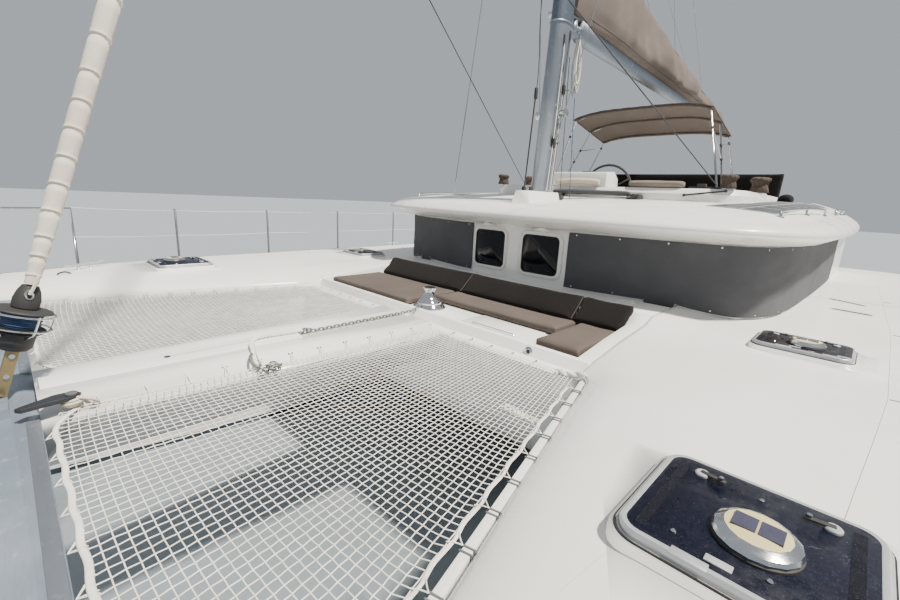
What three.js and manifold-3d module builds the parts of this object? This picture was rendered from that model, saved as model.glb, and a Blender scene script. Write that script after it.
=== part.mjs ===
// Sailing catamaran afloat, in millimetres. +X is forward, +Y is port, +Z is up.
// The origin is at the waterline, amidships on the centreline.

import * as THREE from 'three';
import { mergeVertices } from 'three/addons/utils/BufferGeometryUtils.js';
import Module from 'manifold-3d';

const wasm = await Module();
wasm.setup();

// Driving dimensions
const GAP = 0.3;                  // between faces that touch
const BOW_X = 6800;
const STERN_X = -6800;
const TUNNEL_Z = 740;             // underside of the bridgedeck
const BRIDGE_HALF = 1600;         // half width between the hulls' inner faces
const BRIDGE_FRONT = 3550;
const BRIDGE_AFT = -5650;
const NET_Z = 1785;               // ledge that the nets lie on
const NET_THICK = 12;
const BEAM_AFT = 5800;            // aft face of the forward crossbeam
const BEAM_WIDE = 300;
const SALOON_FLOOR = 900;
const COCKPIT_FLOOR = 960;
const WALL = 60;                  // cabin wall
const WALL_TOP = 2570;
const SALOON_AFT = -2400;         // bulkhead with the door
const RECESS_Z = 2862;            // bottom of the roof's recess that the flybridge stands in
const MAST_X = 1650;
const MAST_FOOT = 2920;
const MAST_TOP = 20500;
const MAST_RAKE = THREE.MathUtils.degToRad(2.8);
const HOUNDS_Z = 16000;
const CHAINPLATE = [-750, 3770];
const GOOSENECK = [1330, 0, 4610];
const BOOM_END_X = -4700;
const TACK = [5750, 0, 2330];     // foot of the furled sail
const WHEEL = { z: 3000, radius: 335, rim: 16, deep: 38 };
const RUDDER_X = -6150;
const HULL_Y = 2765;              // centre plane of a hull
const DRIVE_X = -4300;
const HATCH_Z = 1972;             // flat top of a hatch frame

// Finishes
const finish = (color, roughness, metalness = 0) =>
  new THREE.MeshStandardMaterial({ color, roughness, metalness });
const GELCOAT = finish(0xf2f3f2, 0.3);
const ANTIFOUL = finish(0xeceeee, 0.4);
const ALUMINIUM = finish(0x9aa3ac, 0.4, 0.9);
const STEEL = finish(0xc9cdd0, 0.2, 1);
const NETTING = finish(0xd9d6cf, 0.9);
const COVER = finish(0x62666b, 0.85);
const ACRYLIC = finish(0x20283a, 0.12);
const TAUPE = finish(0x8d837b, 0.9);
const DARK_PAD = finish(0x4a4543, 0.85);
const SAILCLOTH = finish(0xd9d4c8, 0.8);
const BLACK = finish(0x1b1c1e, 0.5);
const BRONZE = finish(0x9c7a4a, 0.35, 0.9);

const craft = new THREE.Group();

/** Closed geometry with shared corners, holding positions only. */
function merged(geometry) {
  const bare = geometry.clone();
  for (const name of ['normal', 'uv', 'uv1']) bare.deleteAttribute(name);
  return mergeVertices(bare, 1e-4);
}

/** Solid for cutting and joining, made from a closed geometry. */
function solid(geometry) {
  const bare = merged(geometry);
  const vertProperties = new Float32Array(bare.attributes.position.array);
  const triVerts = new Uint32Array(bare.index.array);
  return new wasm.Manifold(new wasm.Mesh({ numProp: 3, vertProperties, triVerts }));
}

/** Geometry of a cut or joined solid. */
function geometryOf(body) {
  const { vertProperties, triVerts, numProp } = body.getMesh();
  const count = vertProperties.length / numProp;
  const places = new Float32Array(count * 3);
  for (let i = 0; i < count; i++) {
    for (let k = 0; k < 3; k++) places[3 * i + k] = vertProperties[numProp * i + k];
  }
  const geometry = new THREE.BufferGeometry();
  geometry.setAttribute('position', new THREE.BufferAttribute(places, 3));
  geometry.setIndex(new THREE.BufferAttribute(new Uint32Array(triVerts), 1));
  return geometry;
}

/** Adds one named piece to the craft. */
function piece(name, shape, material) {
  const geometry = shape.isBufferGeometry ? shape : geometryOf(shape);
  geometry.computeVertexNormals();
  const mesh = new THREE.Mesh(geometry, material.clone());
  mesh.name = name;
  craft.add(mesh);
  return mesh;
}

/** The same geometry on the other side of the centre plane. */
function mirrored(geometry) {
  const twin = merged(geometry);
  twin.scale(1, -1, 1);
  const index = twin.index.array;
  for (let i = 0; i < index.length; i += 3) [index[i], index[i + 1]] = [index[i + 1], index[i]];
  return twin;
}

/** Adds a port piece and its starboard twin. */
function pair(name, shape, material) {
  const port = shape.isBufferGeometry ? shape : geometryOf(shape);
  const starboard = mirrored(port);
  piece(`${name}_port`, port, material);
  piece(`${name}_starboard`, starboard, material);
}

const join = (...bodies) => bodies.slice(1).reduce((sum, next) => sum.add(next), bodies[0]);
const cut = (body, ...tools) => tools.reduce((rest, tool) => rest.subtract(tool), body);

/** Body without the space of its neighbour moved by a small step, so a gap stays. */
function seated(body, neighbour, step) {
  return body.subtract(solid(geometryOf(neighbour).translate(...step)));
}

/** Solid box between two opposite corners. */
function box(low, high) {
  const size = high.map((value, axis) => value - low[axis]);
  const shape = new THREE.BoxGeometry(...size);
  return solid(shape.translate(...low.map((value, axis) => value + size[axis] / 2)));
}

/** Flat outline of [x, y] points raised from z low to z high. */
function slab(points, low, high) {
  const shape = new THREE.Shape(points.map(([x, y]) => new THREE.Vector2(x, y)));
  const body = new THREE.ExtrudeGeometry(shape, { depth: high - low, bevelEnabled: false });
  return solid(body.translate(0, 0, low));
}

/** Side outline of [x, z] points carried across from y low to y high. */
function profile(points, low, high) {
  const shape = new THREE.Shape(points.map(([x, z]) => new THREE.Vector2(x, z)));
  const body = new THREE.ExtrudeGeometry(shape, { depth: high - low, bevelEnabled: false });
  return solid(body.rotateX(Math.PI / 2).translate(0, high, 0));
}

/** Rectangle outline with rounded corners. */
function rounded(low, high, radius, steps = 4) {
  const corners = [
    [high[0] - radius, high[1] - radius, 0], [low[0] + radius, high[1] - radius, 90],
    [low[0] + radius, low[1] + radius, 180], [high[0] - radius, low[1] + radius, 270],
  ];
  return corners.flatMap(([x, y, start]) => Array.from({ length: steps + 1 }, (_, i) => {
    const angle = THREE.MathUtils.degToRad(start + 90 * i / steps);
    return [x + radius * Math.cos(angle), y + radius * Math.sin(angle)];
  }));
}

/** Round bar between two points. */
function bar(from, to, radius, sides = 10, endRadius = radius) {
  const a = new THREE.Vector3(...from);
  const b = new THREE.Vector3(...to);
  const shape = new THREE.CylinderGeometry(endRadius, radius, a.distanceTo(b), sides);
  const turn = new THREE.Quaternion().setFromUnitVectors(
    new THREE.Vector3(0, 1, 0), b.clone().sub(a).normalize());
  const middle = a.clone().add(b).multiplyScalar(0.5);
  return solid(shape.applyQuaternion(turn).translate(middle.x, middle.y, middle.z));
}

/** Round tube through a run of points, mitred at each of them. */
function pipe(points, radius, sides = 8) {
  const spots = points.map((point) => new THREE.Vector3(...point));
  const unit = (from, to) => to.clone().sub(from).normalize();
  let side = new THREE.Vector3(0.31, 0.47, 0.83);
  return loft(spots.map((spot, i) => {
    const before = unit(spots[Math.max(i - 1, 0)], spots[Math.max(i, 1)]);
    const after = unit(spots[Math.min(i, spots.length - 2)], spots[Math.min(i + 1, spots.length - 1)]);
    const along = before.add(after).normalize();
    side = side.clone().addScaledVector(along, -side.dot(along)).normalize();
    const up = along.clone().cross(side);
    return Array.from({ length: sides }, (_, k) => {
      const angle = 2 * Math.PI * k / sides;
      return spot.clone().addScaledVector(side, radius * Math.cos(angle))
        .addScaledVector(up, radius * Math.sin(angle)).toArray();
    });
  }));
}

/** Closed skin through loops that have the same number of [x, y, z] points. */
function loft(loops) {
  const size = loops[0].length;
  const index = [];
  for (let ring = 0; ring < loops.length - 1; ring++) {
    for (let i = 0; i < size; i++) {
      const a = ring * size + i;
      const b = ring * size + (i + 1) % size;
      index.push(a, b, a + size, b, b + size, a + size);
    }
  }
  // Each end is a fan about the middle of its loop
  const middle = (loop) => [0, 1, 2].map((axis) =>
    loop.reduce((sum, point) => sum + point[axis], 0) / size);
  const points = [...loops.flat(), middle(loops[0]), middle(loops.at(-1))];
  const last = (loops.length - 1) * size;
  for (let i = 0; i < size; i++) {
    const next = (i + 1) % size;
    index.push(next, i, loops.length * size);
    index.push(last + i, last + next, loops.length * size + 1);
  }
  const skin = new THREE.BufferGeometry();
  skin.setAttribute('position', new THREE.BufferAttribute(new Float32Array(points.flat()), 3));
  skin.setIndex(index);
  const body = solid(skin);
  if (body.volume() > 0) return body;
  for (let i = 0; i < index.length; i += 3) [index[i], index[i + 1]] = [index[i + 1], index[i]];
  skin.setIndex(index);
  return solid(skin);
}

const mix = (a, b, t) => a + (b - a) * t;

/** Values of a table between its rows, joined by smooth curves. */
function between(table, at) {
  const rows = table.length;
  let row = 0;
  while (row < rows - 2 && at < table[row + 1][0]) row++;
  const t = (at - table[row][0]) / (table[row + 1][0] - table[row][0]);
  return table[row].map((value, column) => {
    const p0 = table[Math.max(row - 1, 0)][column];
    const p2 = table[row + 1][column];
    const p3 = table[Math.min(row + 2, rows - 1)][column];
    const curve = 2 * value + (p2 - p0) * t + (2 * p0 - 5 * value + 4 * p2 - p3) * t * t
      + (3 * value - p0 - 3 * p2 + p3) * t * t * t;
    return column === 0 ? at : curve / 2;
  });
}

// Port hull, from the bow aft. Columns: x, deck's inner edge y, deck's outer edge y,
// sheer z, crown of the deck above the sheer, waterline's inner y and outer y,
// keel z, and shelf, which is 1 where the hull's inner side steps in to the bridgedeck.
const HULL = [
  [BOW_X, 2665, 2775, 1800, 25, 2700, 2740, -120, 0],
  [6620, 2550, 2890, 1800, 60, 2665, 2775, -330, 0],
  [6200, 2395, 3100, 1800, 95, 2600, 2860, -470, 0],
  [5750, 2255, 3270, 1800, 125, 2530, 2950, -540, 0],
  [5000, 2055, 3460, 1800, 145, 2430, 3070, -600, 0],
  [4200, 1840, 3610, 1800, 150, 2350, 3180, -640, 0.05],
  [3800, 1735, 3665, 1800, 150, 2315, 3225, -655, 0.35],
  [BRIDGE_FRONT, 1670, 3695, 1800, 150, 2290, 3250, -660, 0.7],
  [BRIDGE_FRONT - 70, BRIDGE_HALF, 3700, 1800, 150, 2287, 3253, -660, 0.8],
  [3000, 1600, 3740, 1800, 150, 2260, 3290, -670, 1],
  [2000, 1600, 3790, 1800, 150, 2230, 3330, -680, 1],
  [0, 1600, 3845, 1800, 150, 2200, 3370, -680, 1],
  [-2000, 1600, 3850, 1800, 150, 2190, 3375, -640, 1],
  [-4000, 1600, 3820, 1800, 140, 2200, 3340, -540, 1],
  [-5000, 1600, 3790, 1790, 120, 2220, 3300, -430, 1],
  [BRIDGE_AFT, 1600, 3750, 1640, 100, 2240, 3270, -340, 1],
  [-6100, 1690, 3715, 1420, 80, 2260, 3240, -260, 0.7],
  [STERN_X, 1950, 3640, 900, 50, 2300, 3190, -120, 0.2],
];
const HULL_STEPS = [6800, 6620, 6420, 6200, 5980, 5750, 5400, 5000, 4600, 4200, 4000, 3800, 3650,
  3550, 3480, 3360, 3000, 2560, 2420, 2000, 1500, 1000, 700, 0, -2000, -4000, -5000, -5350, -5650, -5870, -6100, -6450, -6800];

/** Row of the hull's table at any x, no further inboard than the bridgedeck. */
function hullRow(x) {
  const row = between(HULL, x);
  row[1] = Math.max(row[1], BRIDGE_HALF);
  row[8] = THREE.MathUtils.clamp(row[8], 0, 1);
  return row;
}

// Height of the deck's inner edge beside the fore-cockpit and the cabin's front. Columns: x, z
const SHOULDER = [[3650, 1800], [3480, 1825], [3360, 1862], [3000, 1915], [2560, 1962],
  [2420, 2008], [1500, 2008], [1000, 1900], [700, 1800]];
const SHOULDER_WIDE = 620;

/** Deck height of the port hull at a place. */
function deckZ(x, y) {
  const [, inner, outer, sheer, crown] = hullRow(x);
  const t = Math.abs((y - (inner + outer) / 2) / ((outer - inner) / 2));
  const plain = sheer + crown * Math.max(0, 1 - t ** 3.2) ** 0.6;
  const out = (y - inner) / SHOULDER_WIDE;
  if (x > SHOULDER[0][0] || x < SHOULDER.at(-1)[0] || out > 1) return plain;
  const row = SHOULDER.findIndex(([at]) => x >= at);
  const [[fore, foreZ], [aft, aftZ]] = [SHOULDER[Math.max(row - 1, 0)], SHOULDER[row]];
  const edge = fore === aft ? aftZ : mix(aftZ, foreZ, (x - aft) / (fore - aft));
  return Math.max(plain, mix(edge, deckZ(x, inner + SHOULDER_WIDE * 1.001), 1 - (1 - out) ** 2));
}

/** One section of the port hull, from the deck's inner edge over the deck and round. */
function hullSection(x) {
  const [, inner, outer, sheer, , waterIn, waterOut, keel, shelf] = hullRow(x);
  const keelY = mix(waterIn, waterOut, 0.5);
  const loop = [];
  for (let i = 0; i <= 14; i++) {
    const y = mix(inner, outer, (1 - Math.cos(Math.PI * i / 14)) / 2);
    loop.push([x, y, deckZ(x, y)]);
  }
  for (let i = 1; i <= 5; i++) {
    const t = i / 5;
    const y = (1 - t) ** 2 * outer + 2 * t * (1 - t) * mix(waterOut, outer, 0.8) + t * t * waterOut;
    loop.push([x, y, (1 - t) ** 2 * sheer + 2 * t * (1 - t) * sheer * 0.45]);
  }
  for (let i = 1; i < 12; i++) {
    const angle = Math.PI * i / 12;
    const side = Math.abs(Math.cos(angle)) ** 0.85 * Math.sign(Math.cos(angle));
    loop.push([x, keelY + (waterOut - waterIn) / 2 * side, keel * Math.sin(angle) ** 0.8]);
  }
  const knee = [waterIn - 25, 600];
  const shoulder = [mix(mix(waterIn, inner, 0.4), inner, shelf), mix(1150, TUNNEL_Z, shelf)];
  loop.push([x, waterIn, 0]);
  loop.push([x, ...knee]);
  loop.push([x, mix(knee[0], shoulder[0], 0.5), mix(knee[1], shoulder[1], mix(0.5, 0.85, shelf))]);
  loop.push([x, ...shoulder]);
  loop.push([x, mix(shoulder[0], inner, 0.75), mix(shoulder[1], sheer, 0.5)]);
  return loop;
}

/** Wing-like outline in plan, round nose forward. */
function foil(noseX, chord, thick, y) {
  const half = [[0, 0], [0.03, 0.55], [0.12, 0.9], [0.3, 1], [0.6, 0.72], [0.85, 0.3], [1, 0.04]];
  const port = half.map(([along, wide]) => [noseX - chord * along, y + thick / 2 * wide]);
  const starboard = half.slice(1).reverse().map(([along, wide]) =>
    [noseX - chord * along, y - thick / 2 * wide]);
  return [...port, ...starboard].reverse();
}

// Deck hatches. Columns: name, centre x, centre y, length along x, width across.
const HATCHES = [
  ['fore', 4520, 2610, 500, 540],
  ['mid', 2235, 2500, 400, 500],
];
const HATCH_THICK = 26;

/** Raised frame of one deck hatch. */
function hatchFrame([, x, y, long, wide]) {
  const rim = 22;
  const outline = rounded([x - long / 2 - rim, y - wide / 2 - rim],
    [x + long / 2 + rim, y + wide / 2 + rim], 70);
  return slab(outline, HATCH_Z - 200, HATCH_Z);
}

const portHull = (() => {
  const skin = loft(HULL_STEPS.map(hullSection));
  const keel = slab(foil(1500, 2700, 300, HULL_Y - 20), -1300, -300);
  const bearing = bar([RUDDER_X, HULL_Y - 20, -420], [RUDDER_X, HULL_Y - 20, -150], 90, 20);
  const body = join(skin, keel, bearing, ...HATCHES.map(hatchFrame));
  // Steps down to the water. Columns: aft end x, fore end x, tread z
  const treads = [[-7000, -6200, 430], [-6210, -5850, 780], [-5860, -5500, 1130], [-5510, -5150, 1480]];
  const steps = treads.map(([aft, fore, z]) => box([aft, 2150, z], [fore, 3330, 2400]));
  return cut(body, ...steps);
})();
const starboardHull = solid(mirrored(geometryOf(portHull)));

/** Body seated on both hulls, with the gap on the given side of the port one. */
const onHulls = (body, [x, y, z]) =>
  seated(seated(body, portHull, [x, y, z]), starboardHull, [x, -y, z]);

function addHulls() {
  piece('hull_port', portHull, ANTIFOUL);
  piece('hull_starboard', starboardHull, ANTIFOUL);
}

// Fore-cockpit
const SEAT_Z = 1835;
const PAD_Z = 1905;
const BENCH = { aft: 2560, strip: 3030, fore: 3360, half: 1500, wellPort: 1150, wellStarboard: -200 };
const LEDGE_Z = 2010;
const LID = { aft: 3045, fore: 3345, starboard: 450, port: 1080, low: SEAT_Z, thick: 18 };
const WINDLASS = [3200, -60];

const bridgedeck = (() => {
  const side = [
    [BRIDGE_AFT, TUNNEL_Z + 160], [BRIDGE_AFT + 500, TUNNEL_Z], [2200, TUNNEL_Z],
    [2900, 830], [3300, 1030], [BRIDGE_FRONT, 1330], [BRIDGE_FRONT, NET_Z],
    [3440, NET_Z + 10], [3400, 1862], [BENCH.fore, 1862], [BENCH.fore, SEAT_Z],
    [BENCH.aft, SEAT_Z], [2420, LEDGE_Z], [2000, LEDGE_Z], [2000, SALOON_FLOOR],
    [SALOON_AFT, SALOON_FLOOR], [SALOON_AFT, COCKPIT_FLOOR], [-5150, COCKPIT_FLOOR],
    [-5150, 1400], [BRIDGE_AFT, 1400],
  ];
  const half = BRIDGE_HALF - GAP;
  const body = profile(side, -half, half);
  const walls = [-1, 1].map((hand) => {
    const [low, high] = hand > 0 ? [BENCH.half, half] : [-half, -BENCH.half];
    const top = SHOULDER.filter(([x]) => x < 3400 && x > 2000).map(([x, z]) => [x, Math.min(z, LEDGE_Z)]);
    return profile([[BENCH.aft - 200, SEAT_Z - 20], [3400, SEAT_Z - 20], [3400, 1858], ...top,
      [BENCH.aft - 200, LEDGE_Z]], low, high);
  });
  const settee = join(box([1300, -1400, SALOON_FLOOR - 20], [2010, 1400, 1330]),
    box([-900, 900, SALOON_FLOOR - 20], [1310, 1500, 1330]));
  const galley = box([-1700, -1560, SALOON_FLOOR - 20], [600, -950, 1780]);
  const bench = join(box([-5160, -1200, COCKPIT_FLOOR - 20], [-4600, 1200, 1390]),
    box([-4610, 900, COCKPIT_FLOOR - 20], [-3000, 1500, 1390]));
  const posts = [-1, 1].map((hand) => box(
    [-5480, hand * 1500 - 45, 1380], [-5340, hand * 1500 + 45, WALL_TOP - GAP]));
  const rail = box([SALOON_AFT - 31, -900, COCKPIT_FLOOR - 20],
    [SALOON_AFT - 11, 620, COCKPIT_FLOOR + 6]);
  const base = bar([...WINDLASS, SEAT_Z - 10], [...WINDLASS, 1878], 125, 24, 110);
  return join(body, ...walls, settee, galley, bench, ...posts, rail, base);
})();

function addBridgedeck() {
  piece('bridgedeck', bridgedeck, GELCOAT);
  const top = box([-4350, -520, 1500], [-3300, 520, 1535]);
  const leg = bar([-3825, 0, COCKPIT_FLOOR + GAP], [-3825, 0, 1510], 45, 16);
  const foot = bar([-3825, 0, COCKPIT_FLOOR + GAP], [-3825, 0, COCKPIT_FLOOR + 20], 180, 20);
  piece('cockpit_table', join(top, leg, foot), GELCOAT);
}

// Foredeck
const CHANNEL_Z = 1836;           // groove that the anchor chain runs in

/** One section of the longitudinal beam that parts the nets. */
function foredeckSection(x, half) {
  const side = [
    [half, NET_Z - 40], [half, NET_Z], [half * 0.8, NET_Z + 4], [half * 0.72, 1842],
    [half * 0.6, 1858], [half * 0.24, 1852], [half * 0.18, CHANNEL_Z],
  ];
  const under = [[-half * 0.55, 1500], [half * 0.55, 1500]];
  const port = side.map(([y, z]) => [x, y, z]);
  const starboard = side.toReversed().map(([y, z]) => [x, -y, z]);
  return [...port, ...starboard, ...under.map(([y, z]) => [x, y, z])];
}

const mastX = (z) => MAST_X - (z - MAST_FOOT) * Math.tan(MAST_RAKE);
const MAST_LONG = 290;
const MAST_WIDE = 180;
const STAY_TOP = [mastX(HOUNDS_Z) + MAST_LONG / 2 + 60, 0, HOUNDS_Z];
const DRUM_LOW = 2130;

/** Point of the forestay at a height. */
const onStay = (z) => TACK.map((value, axis) =>
  mix(value, STAY_TOP[axis], (z - TACK[2]) / (STAY_TOP[2] - TACK[2])));

const foredeckBeam = loft([
  foredeckSection(BRIDGE_FRONT + GAP, 445), foredeckSection(4600, 370),
  foredeckSection(BEAM_AFT - GAP, 305),
]);

const crossbeam = (() => {
  const front = BEAM_AFT + BEAM_WIDE;
  const outline = [
    [BEAM_AFT, 1560], [BEAM_AFT, 1790], [BEAM_AFT + 40, 1806], [BEAM_AFT + 200, 1800],
    [front - 30, 1760], [front, 1690], [front, 1620], [front - 40, 1550],
    [front - 130, 1510], [BEAM_AFT + 90, 1510],
  ];
  const beam = profile(outline, -2800, 2800);
  const link = bar(onStay(1700), onStay(DRUM_LOW - GAP - 0.1), 18, 8);
  const roller = box([BEAM_AFT + 90, 90, 1770], [front + 150, 230, 1850]);
  return join(onHulls(beam, [0, -GAP, 0]), link, roller);
})();

function addForedeck() {
  piece('foredeck_beam', foredeckBeam, GELCOAT);
  piece('crossbeam', crossbeam, ALUMINIUM);
  const middle = BEAM_AFT + BEAM_WIDE / 2;
  const rods = [-1, 1].map((hand) => pipe(
    [[middle, hand * 2150, 1480], [middle, 0, 1160]], 14, 6));
  const post = bar([middle, 0, 1140], [middle, 0, 1510 - GAP], 35, 12);
  const eyes = [-1, 1].map((hand) =>
    box([middle - 20, hand * 2120 - 45, 1455], [middle + 20, hand * 2120 + 45, 1510 - GAP]));
  piece('beam_striker', join(post, ...rods, ...eyes), STEEL);
}

// Nets. Columns: x, inner edge y, outer edge y
const NET = [[BEAM_AFT - 45, 238, 2144], [4640, 285, 1850], [BRIDGE_FRONT - 60, 345, 1552]];
const NET_BAR = { fore: 2217, slope: 0.264, wide: 35, high: 35 };

function addNets() {
  const outline = [...NET.map(([x, inner]) => [x, inner]),
    ...NET.toReversed().map(([x, , outer]) => [x, outer])];
  const sheet = slab(outline, NET_Z + 10 + GAP, NET_Z + 10 + NET_THICK);
  const twin = solid(mirrored(geometryOf(foredeckBeam)));
  const clear = seated(seated(sheet, foredeckBeam, [0, 0, GAP]), twin, [0, 0, GAP]);
  pair('trampoline', clear, NETTING);

  const { fore, slope, wide, high } = NET_BAR;
  const [from, to] = [BEAM_AFT - GAP, BRIDGE_FRONT - 60];
  const aft = fore - slope * (from - to);
  const bars = slab([[from, fore], [from, fore + wide], [to, aft + wide], [to, aft]].reverse(),
    NET_Z + 10 - high, NET_Z + 10);
  pair('net_bar', seated(bars, portHull, [0, -GAP, 0]), GELCOAT);
}

// Cabin walls in plan, from the bow round the port side aft
const CABIN = [[2130, 0], [2122, 350], [2100, 700], [2040, 1080], [1950, 1450], [1840, 1780],
  [1680, 2020], [1400, 2160], [950, 2240], [0, 2290], [-1200, 2330], [SALOON_AFT, 2350]];

/** Cabin outline moved inwards by a wall's thickness. */
function cabinInset(inset) {
  const length = CABIN[0][0] - SALOON_AFT;
  const wide = 2350;
  return CABIN.map(([x, y]) =>
    [SALOON_AFT + (x - SALOON_AFT) * (1 - inset / length), y * (1 - inset / wide)]);
}

/** Upright shell between two insets of the cabin outline. */
function cabinShell(outer, inner, low, high) {
  const half = [...cabinInset(outer), ...cabinInset(inner).reverse()];
  const port = slab(half.toReversed(), low, high);
  const starboard = solid(mirrored(geometryOf(port)));
  return join(port, starboard, box([2000, -1, low], [2125 - outer, 1, high]));
}

const WINDOW = { low: 2105, high: 2500 };
const DOOR = { low: -880, high: -120, top: 2470, rail: 6 };
const AFT_WINDOW = { low: 80, high: 1350, sill: 1450, top: 2400 };
const PORTLIGHTS = [['starboard', -270, 420], ['port', 365, 430]];
const CORNER_X = 1300;

const roofRings = [
  // Columns: inset from the roof's ends, inset from its sides, z forward, how far z rises aft
  [240, 160, WALL_TOP, 0], [40, 40, 2630, 0], [8, 8, 2650, 0], [0, 0, 2662, 0],
  [25, 12, 2695, 10], [90, 50, 2730, 25], [210, 120, 2765, 45], [420, 210, 2800, 65],
  [800, 330, 2830, 100], [1250, 470, 2850, 120], [1900, 740, 2865, 115], [2500, 1100, 2875, 105],
];
// Roof in plan, from the bow round the port side to the stern
const ROOF = [[2400, 0], [2392, 500], [2360, 1000], [2300, 1500], [2180, 1950], [1960, 2250],
  [1620, 2430], [1100, 2510], [0, 2545], [-1500, 2540], [-3500, 2510], [-4900, 2420],
  [-5350, 2260], [-5540, 1900], [-5620, 1200], [-5640, 500], [-5650, 0]];
const ROOF_RISE = { from: 1600, to: -1500 };

/** One ring of the roof, which rises aft. */
function roofRing(insetEnds, insetSides, z, rise) {
  const middle = -1625;
  const long = 4025;
  const wide = 2545;
  const port = ROOF.map(([x, y]) => {
    const at = middle + (x - middle) * (1 - insetEnds / long);
    const share = THREE.MathUtils.clamp((ROOF_RISE.from - at) / (ROOF_RISE.from - ROOF_RISE.to), 0, 1);
    return [at, y * (1 - insetSides / wide), z + rise * share];
  });
  return [...port, ...port.slice(1, -1).reverse().map(([x, y, height]) => [x, -y, height])];
}

const WELL = { aft: -1500, fore: 170, half: 1250, floor: 2470, wall: 60 };
const FLY = { aft: -2250, fore: 520, half: 1680, corner: 420, top: 3040, wall: 90, seatTop: 2930 };
/** Top of the flybridge's floor, round its footwell. */
const FLOOR_Z = RECESS_Z + 25;

/** Outline of the flybridge, drawn in by some millimetres. */
const flyOutline = (draw) => rounded([FLY.aft + draw, -FLY.half + draw],
  [FLY.fore - draw, FLY.half - draw], FLY.corner - draw, 5);

const coachroof = (() => {
  const skin = loft(roofRings.map((ring) => roofRing(...ring)));
  const hollow = loft([[460, WALL_TOP - 5], [470, 2640], [620, 2700], [1000, 2745], [1400, 2775]]
    .map(([inset, z]) => roofRing(inset, inset, z, 0)));
  const mastBox = loft([[2760, 0], [MAST_FOOT - GAP, 30]].map(([z, draw]) => [
    [MAST_X - 190 + draw, -150 + draw, z], [MAST_X + 380 - draw, -110 + draw, z],
    [MAST_X + 380 - draw, 110 - draw, z], [MAST_X - 190 + draw, 150 - draw, z]]));
  const well = box([WELL.aft, -WELL.half, 2500], [WELL.fore, WELL.half, 3100]);
  const recess = slab(flyOutline(-GAP), RECESS_Z, 3200);
  return join(cut(skin, hollow, well, recess), cut(mastBox, hollow));
})();

/** Wall cut to stand on the hulls and the bridgedeck, and to stop under the roof. */
function standing(wall) {
  return seated(onHulls(wall, [0, 0, GAP]), bridgedeck, [0, 0, GAP]);
}

function addCabin() {
  const shell = cabinShell(0, WALL, 1700, WALL_TOP - GAP);
  const big = 4000;
  const frontSpace = box([CORNER_X, -big, 0], [big, big, big]);
  const panes = PORTLIGHTS.map(([, y, wide]) =>
    box([1900, y - wide / 2, WINDOW.low], [2300, y + wide / 2, WINDOW.high]));
  const covered = [-1, 1].map((hand) => box([1650, Math.min(hand * 760, hand * 1750), WINDOW.low],
    [2300, Math.max(hand * 760, hand * 1750), WINDOW.high]));
  const front = cut(shell.intersect(frontSpace), ...panes, ...covered);
  piece('cabin_front', standing(front), GELCOAT);

  const sideSpace = box([SALOON_AFT, 500, 0], [CORNER_X - GAP, big, big]);
  const pillar = slab([[SALOON_AFT, 2290], [SALOON_AFT, 2350], [-3900, 2370], [-3500, 2310]]
    .reverse(), 1700, WALL_TOP - GAP);
  const sideWindow = box([-2100, 2000, WINDOW.low], [900, 2600, WINDOW.high]);
  const wall = join(shell.intersect(sideSpace), pillar);
  const side = standing(cut(wall, sideWindow));
  pair('cabin_side', side, GELCOAT);

  const half = cabinInset(WALL).at(-1)[1] + 20;
  const whole = box([SALOON_AFT + GAP, -half, SALOON_FLOOR + GAP], [SALOON_AFT + 50, half, WALL_TOP - GAP]);
  const plate = seated(seated(whole, wall, [0, -GAP, 0]), solid(mirrored(geometryOf(wall))),
    [0, GAP, 0]);
  const doorway = box([SALOON_AFT - 10, DOOR.low + 30, SALOON_FLOOR - 10],
    [SALOON_AFT + 60, DOOR.high - 30, DOOR.top - 20]);
  const opening = box([SALOON_AFT - 10, AFT_WINDOW.low, AFT_WINDOW.sill],
    [SALOON_AFT + 60, AFT_WINDOW.high, AFT_WINDOW.top]);
  piece('cabin_bulkhead', standing(cut(plate, doorway, opening)), GELCOAT);
  const pane = box([SALOON_AFT + 15, AFT_WINDOW.low + GAP, AFT_WINDOW.sill + GAP],
    [SALOON_AFT + 27, AFT_WINDOW.high - GAP, AFT_WINDOW.top - GAP]);
  piece('bulkhead_window', pane, ACRYLIC);
  const door = box([SALOON_AFT - 36, DOOR.low, COCKPIT_FLOOR + DOOR.rail + GAP],
    [SALOON_AFT - 6, DOOR.high, DOOR.top]);
  piece('saloon_door', door, ACRYLIC);

  piece('coachroof', coachroof, GELCOAT);
}

const clearOfDeck = (sheet) => seated(onHulls(sheet, [0, 0, 20]), bridgedeck, [0, 0, 20]);

/** Fabric over the covered windows on each side, from a front edge round to the side. */
function addCovers() {
  const sheet = cabinShell(-16, -GAP, 1935, WALL_TOP - 12);
  const port = sheet.intersect(box([-2150, 640, 0], [4000, 4000, 4000]));
  piece('window_cover_port', clearOfDeck(port), COVER);
  const starboard = sheet.intersect(box([-2150, -4000, 0], [4000, -560, 4000]));
  piece('window_cover_starboard', clearOfDeck(starboard), COVER);
  for (const [hand, y, wide] of PORTLIGHTS) {
    const frame = slab(rounded([y - wide / 2 + GAP, WINDOW.low + GAP],
      [y + wide / 2 - GAP, WINDOW.high - GAP], 55), 0, 60);
    const upright = geometryOf(frame).rotateX(Math.PI / 2).rotateZ(Math.PI / 2).translate(2070, 0, 0);
    piece(`portlight_${hand}`, solid(upright), ACRYLIC);
  }
}

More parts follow.
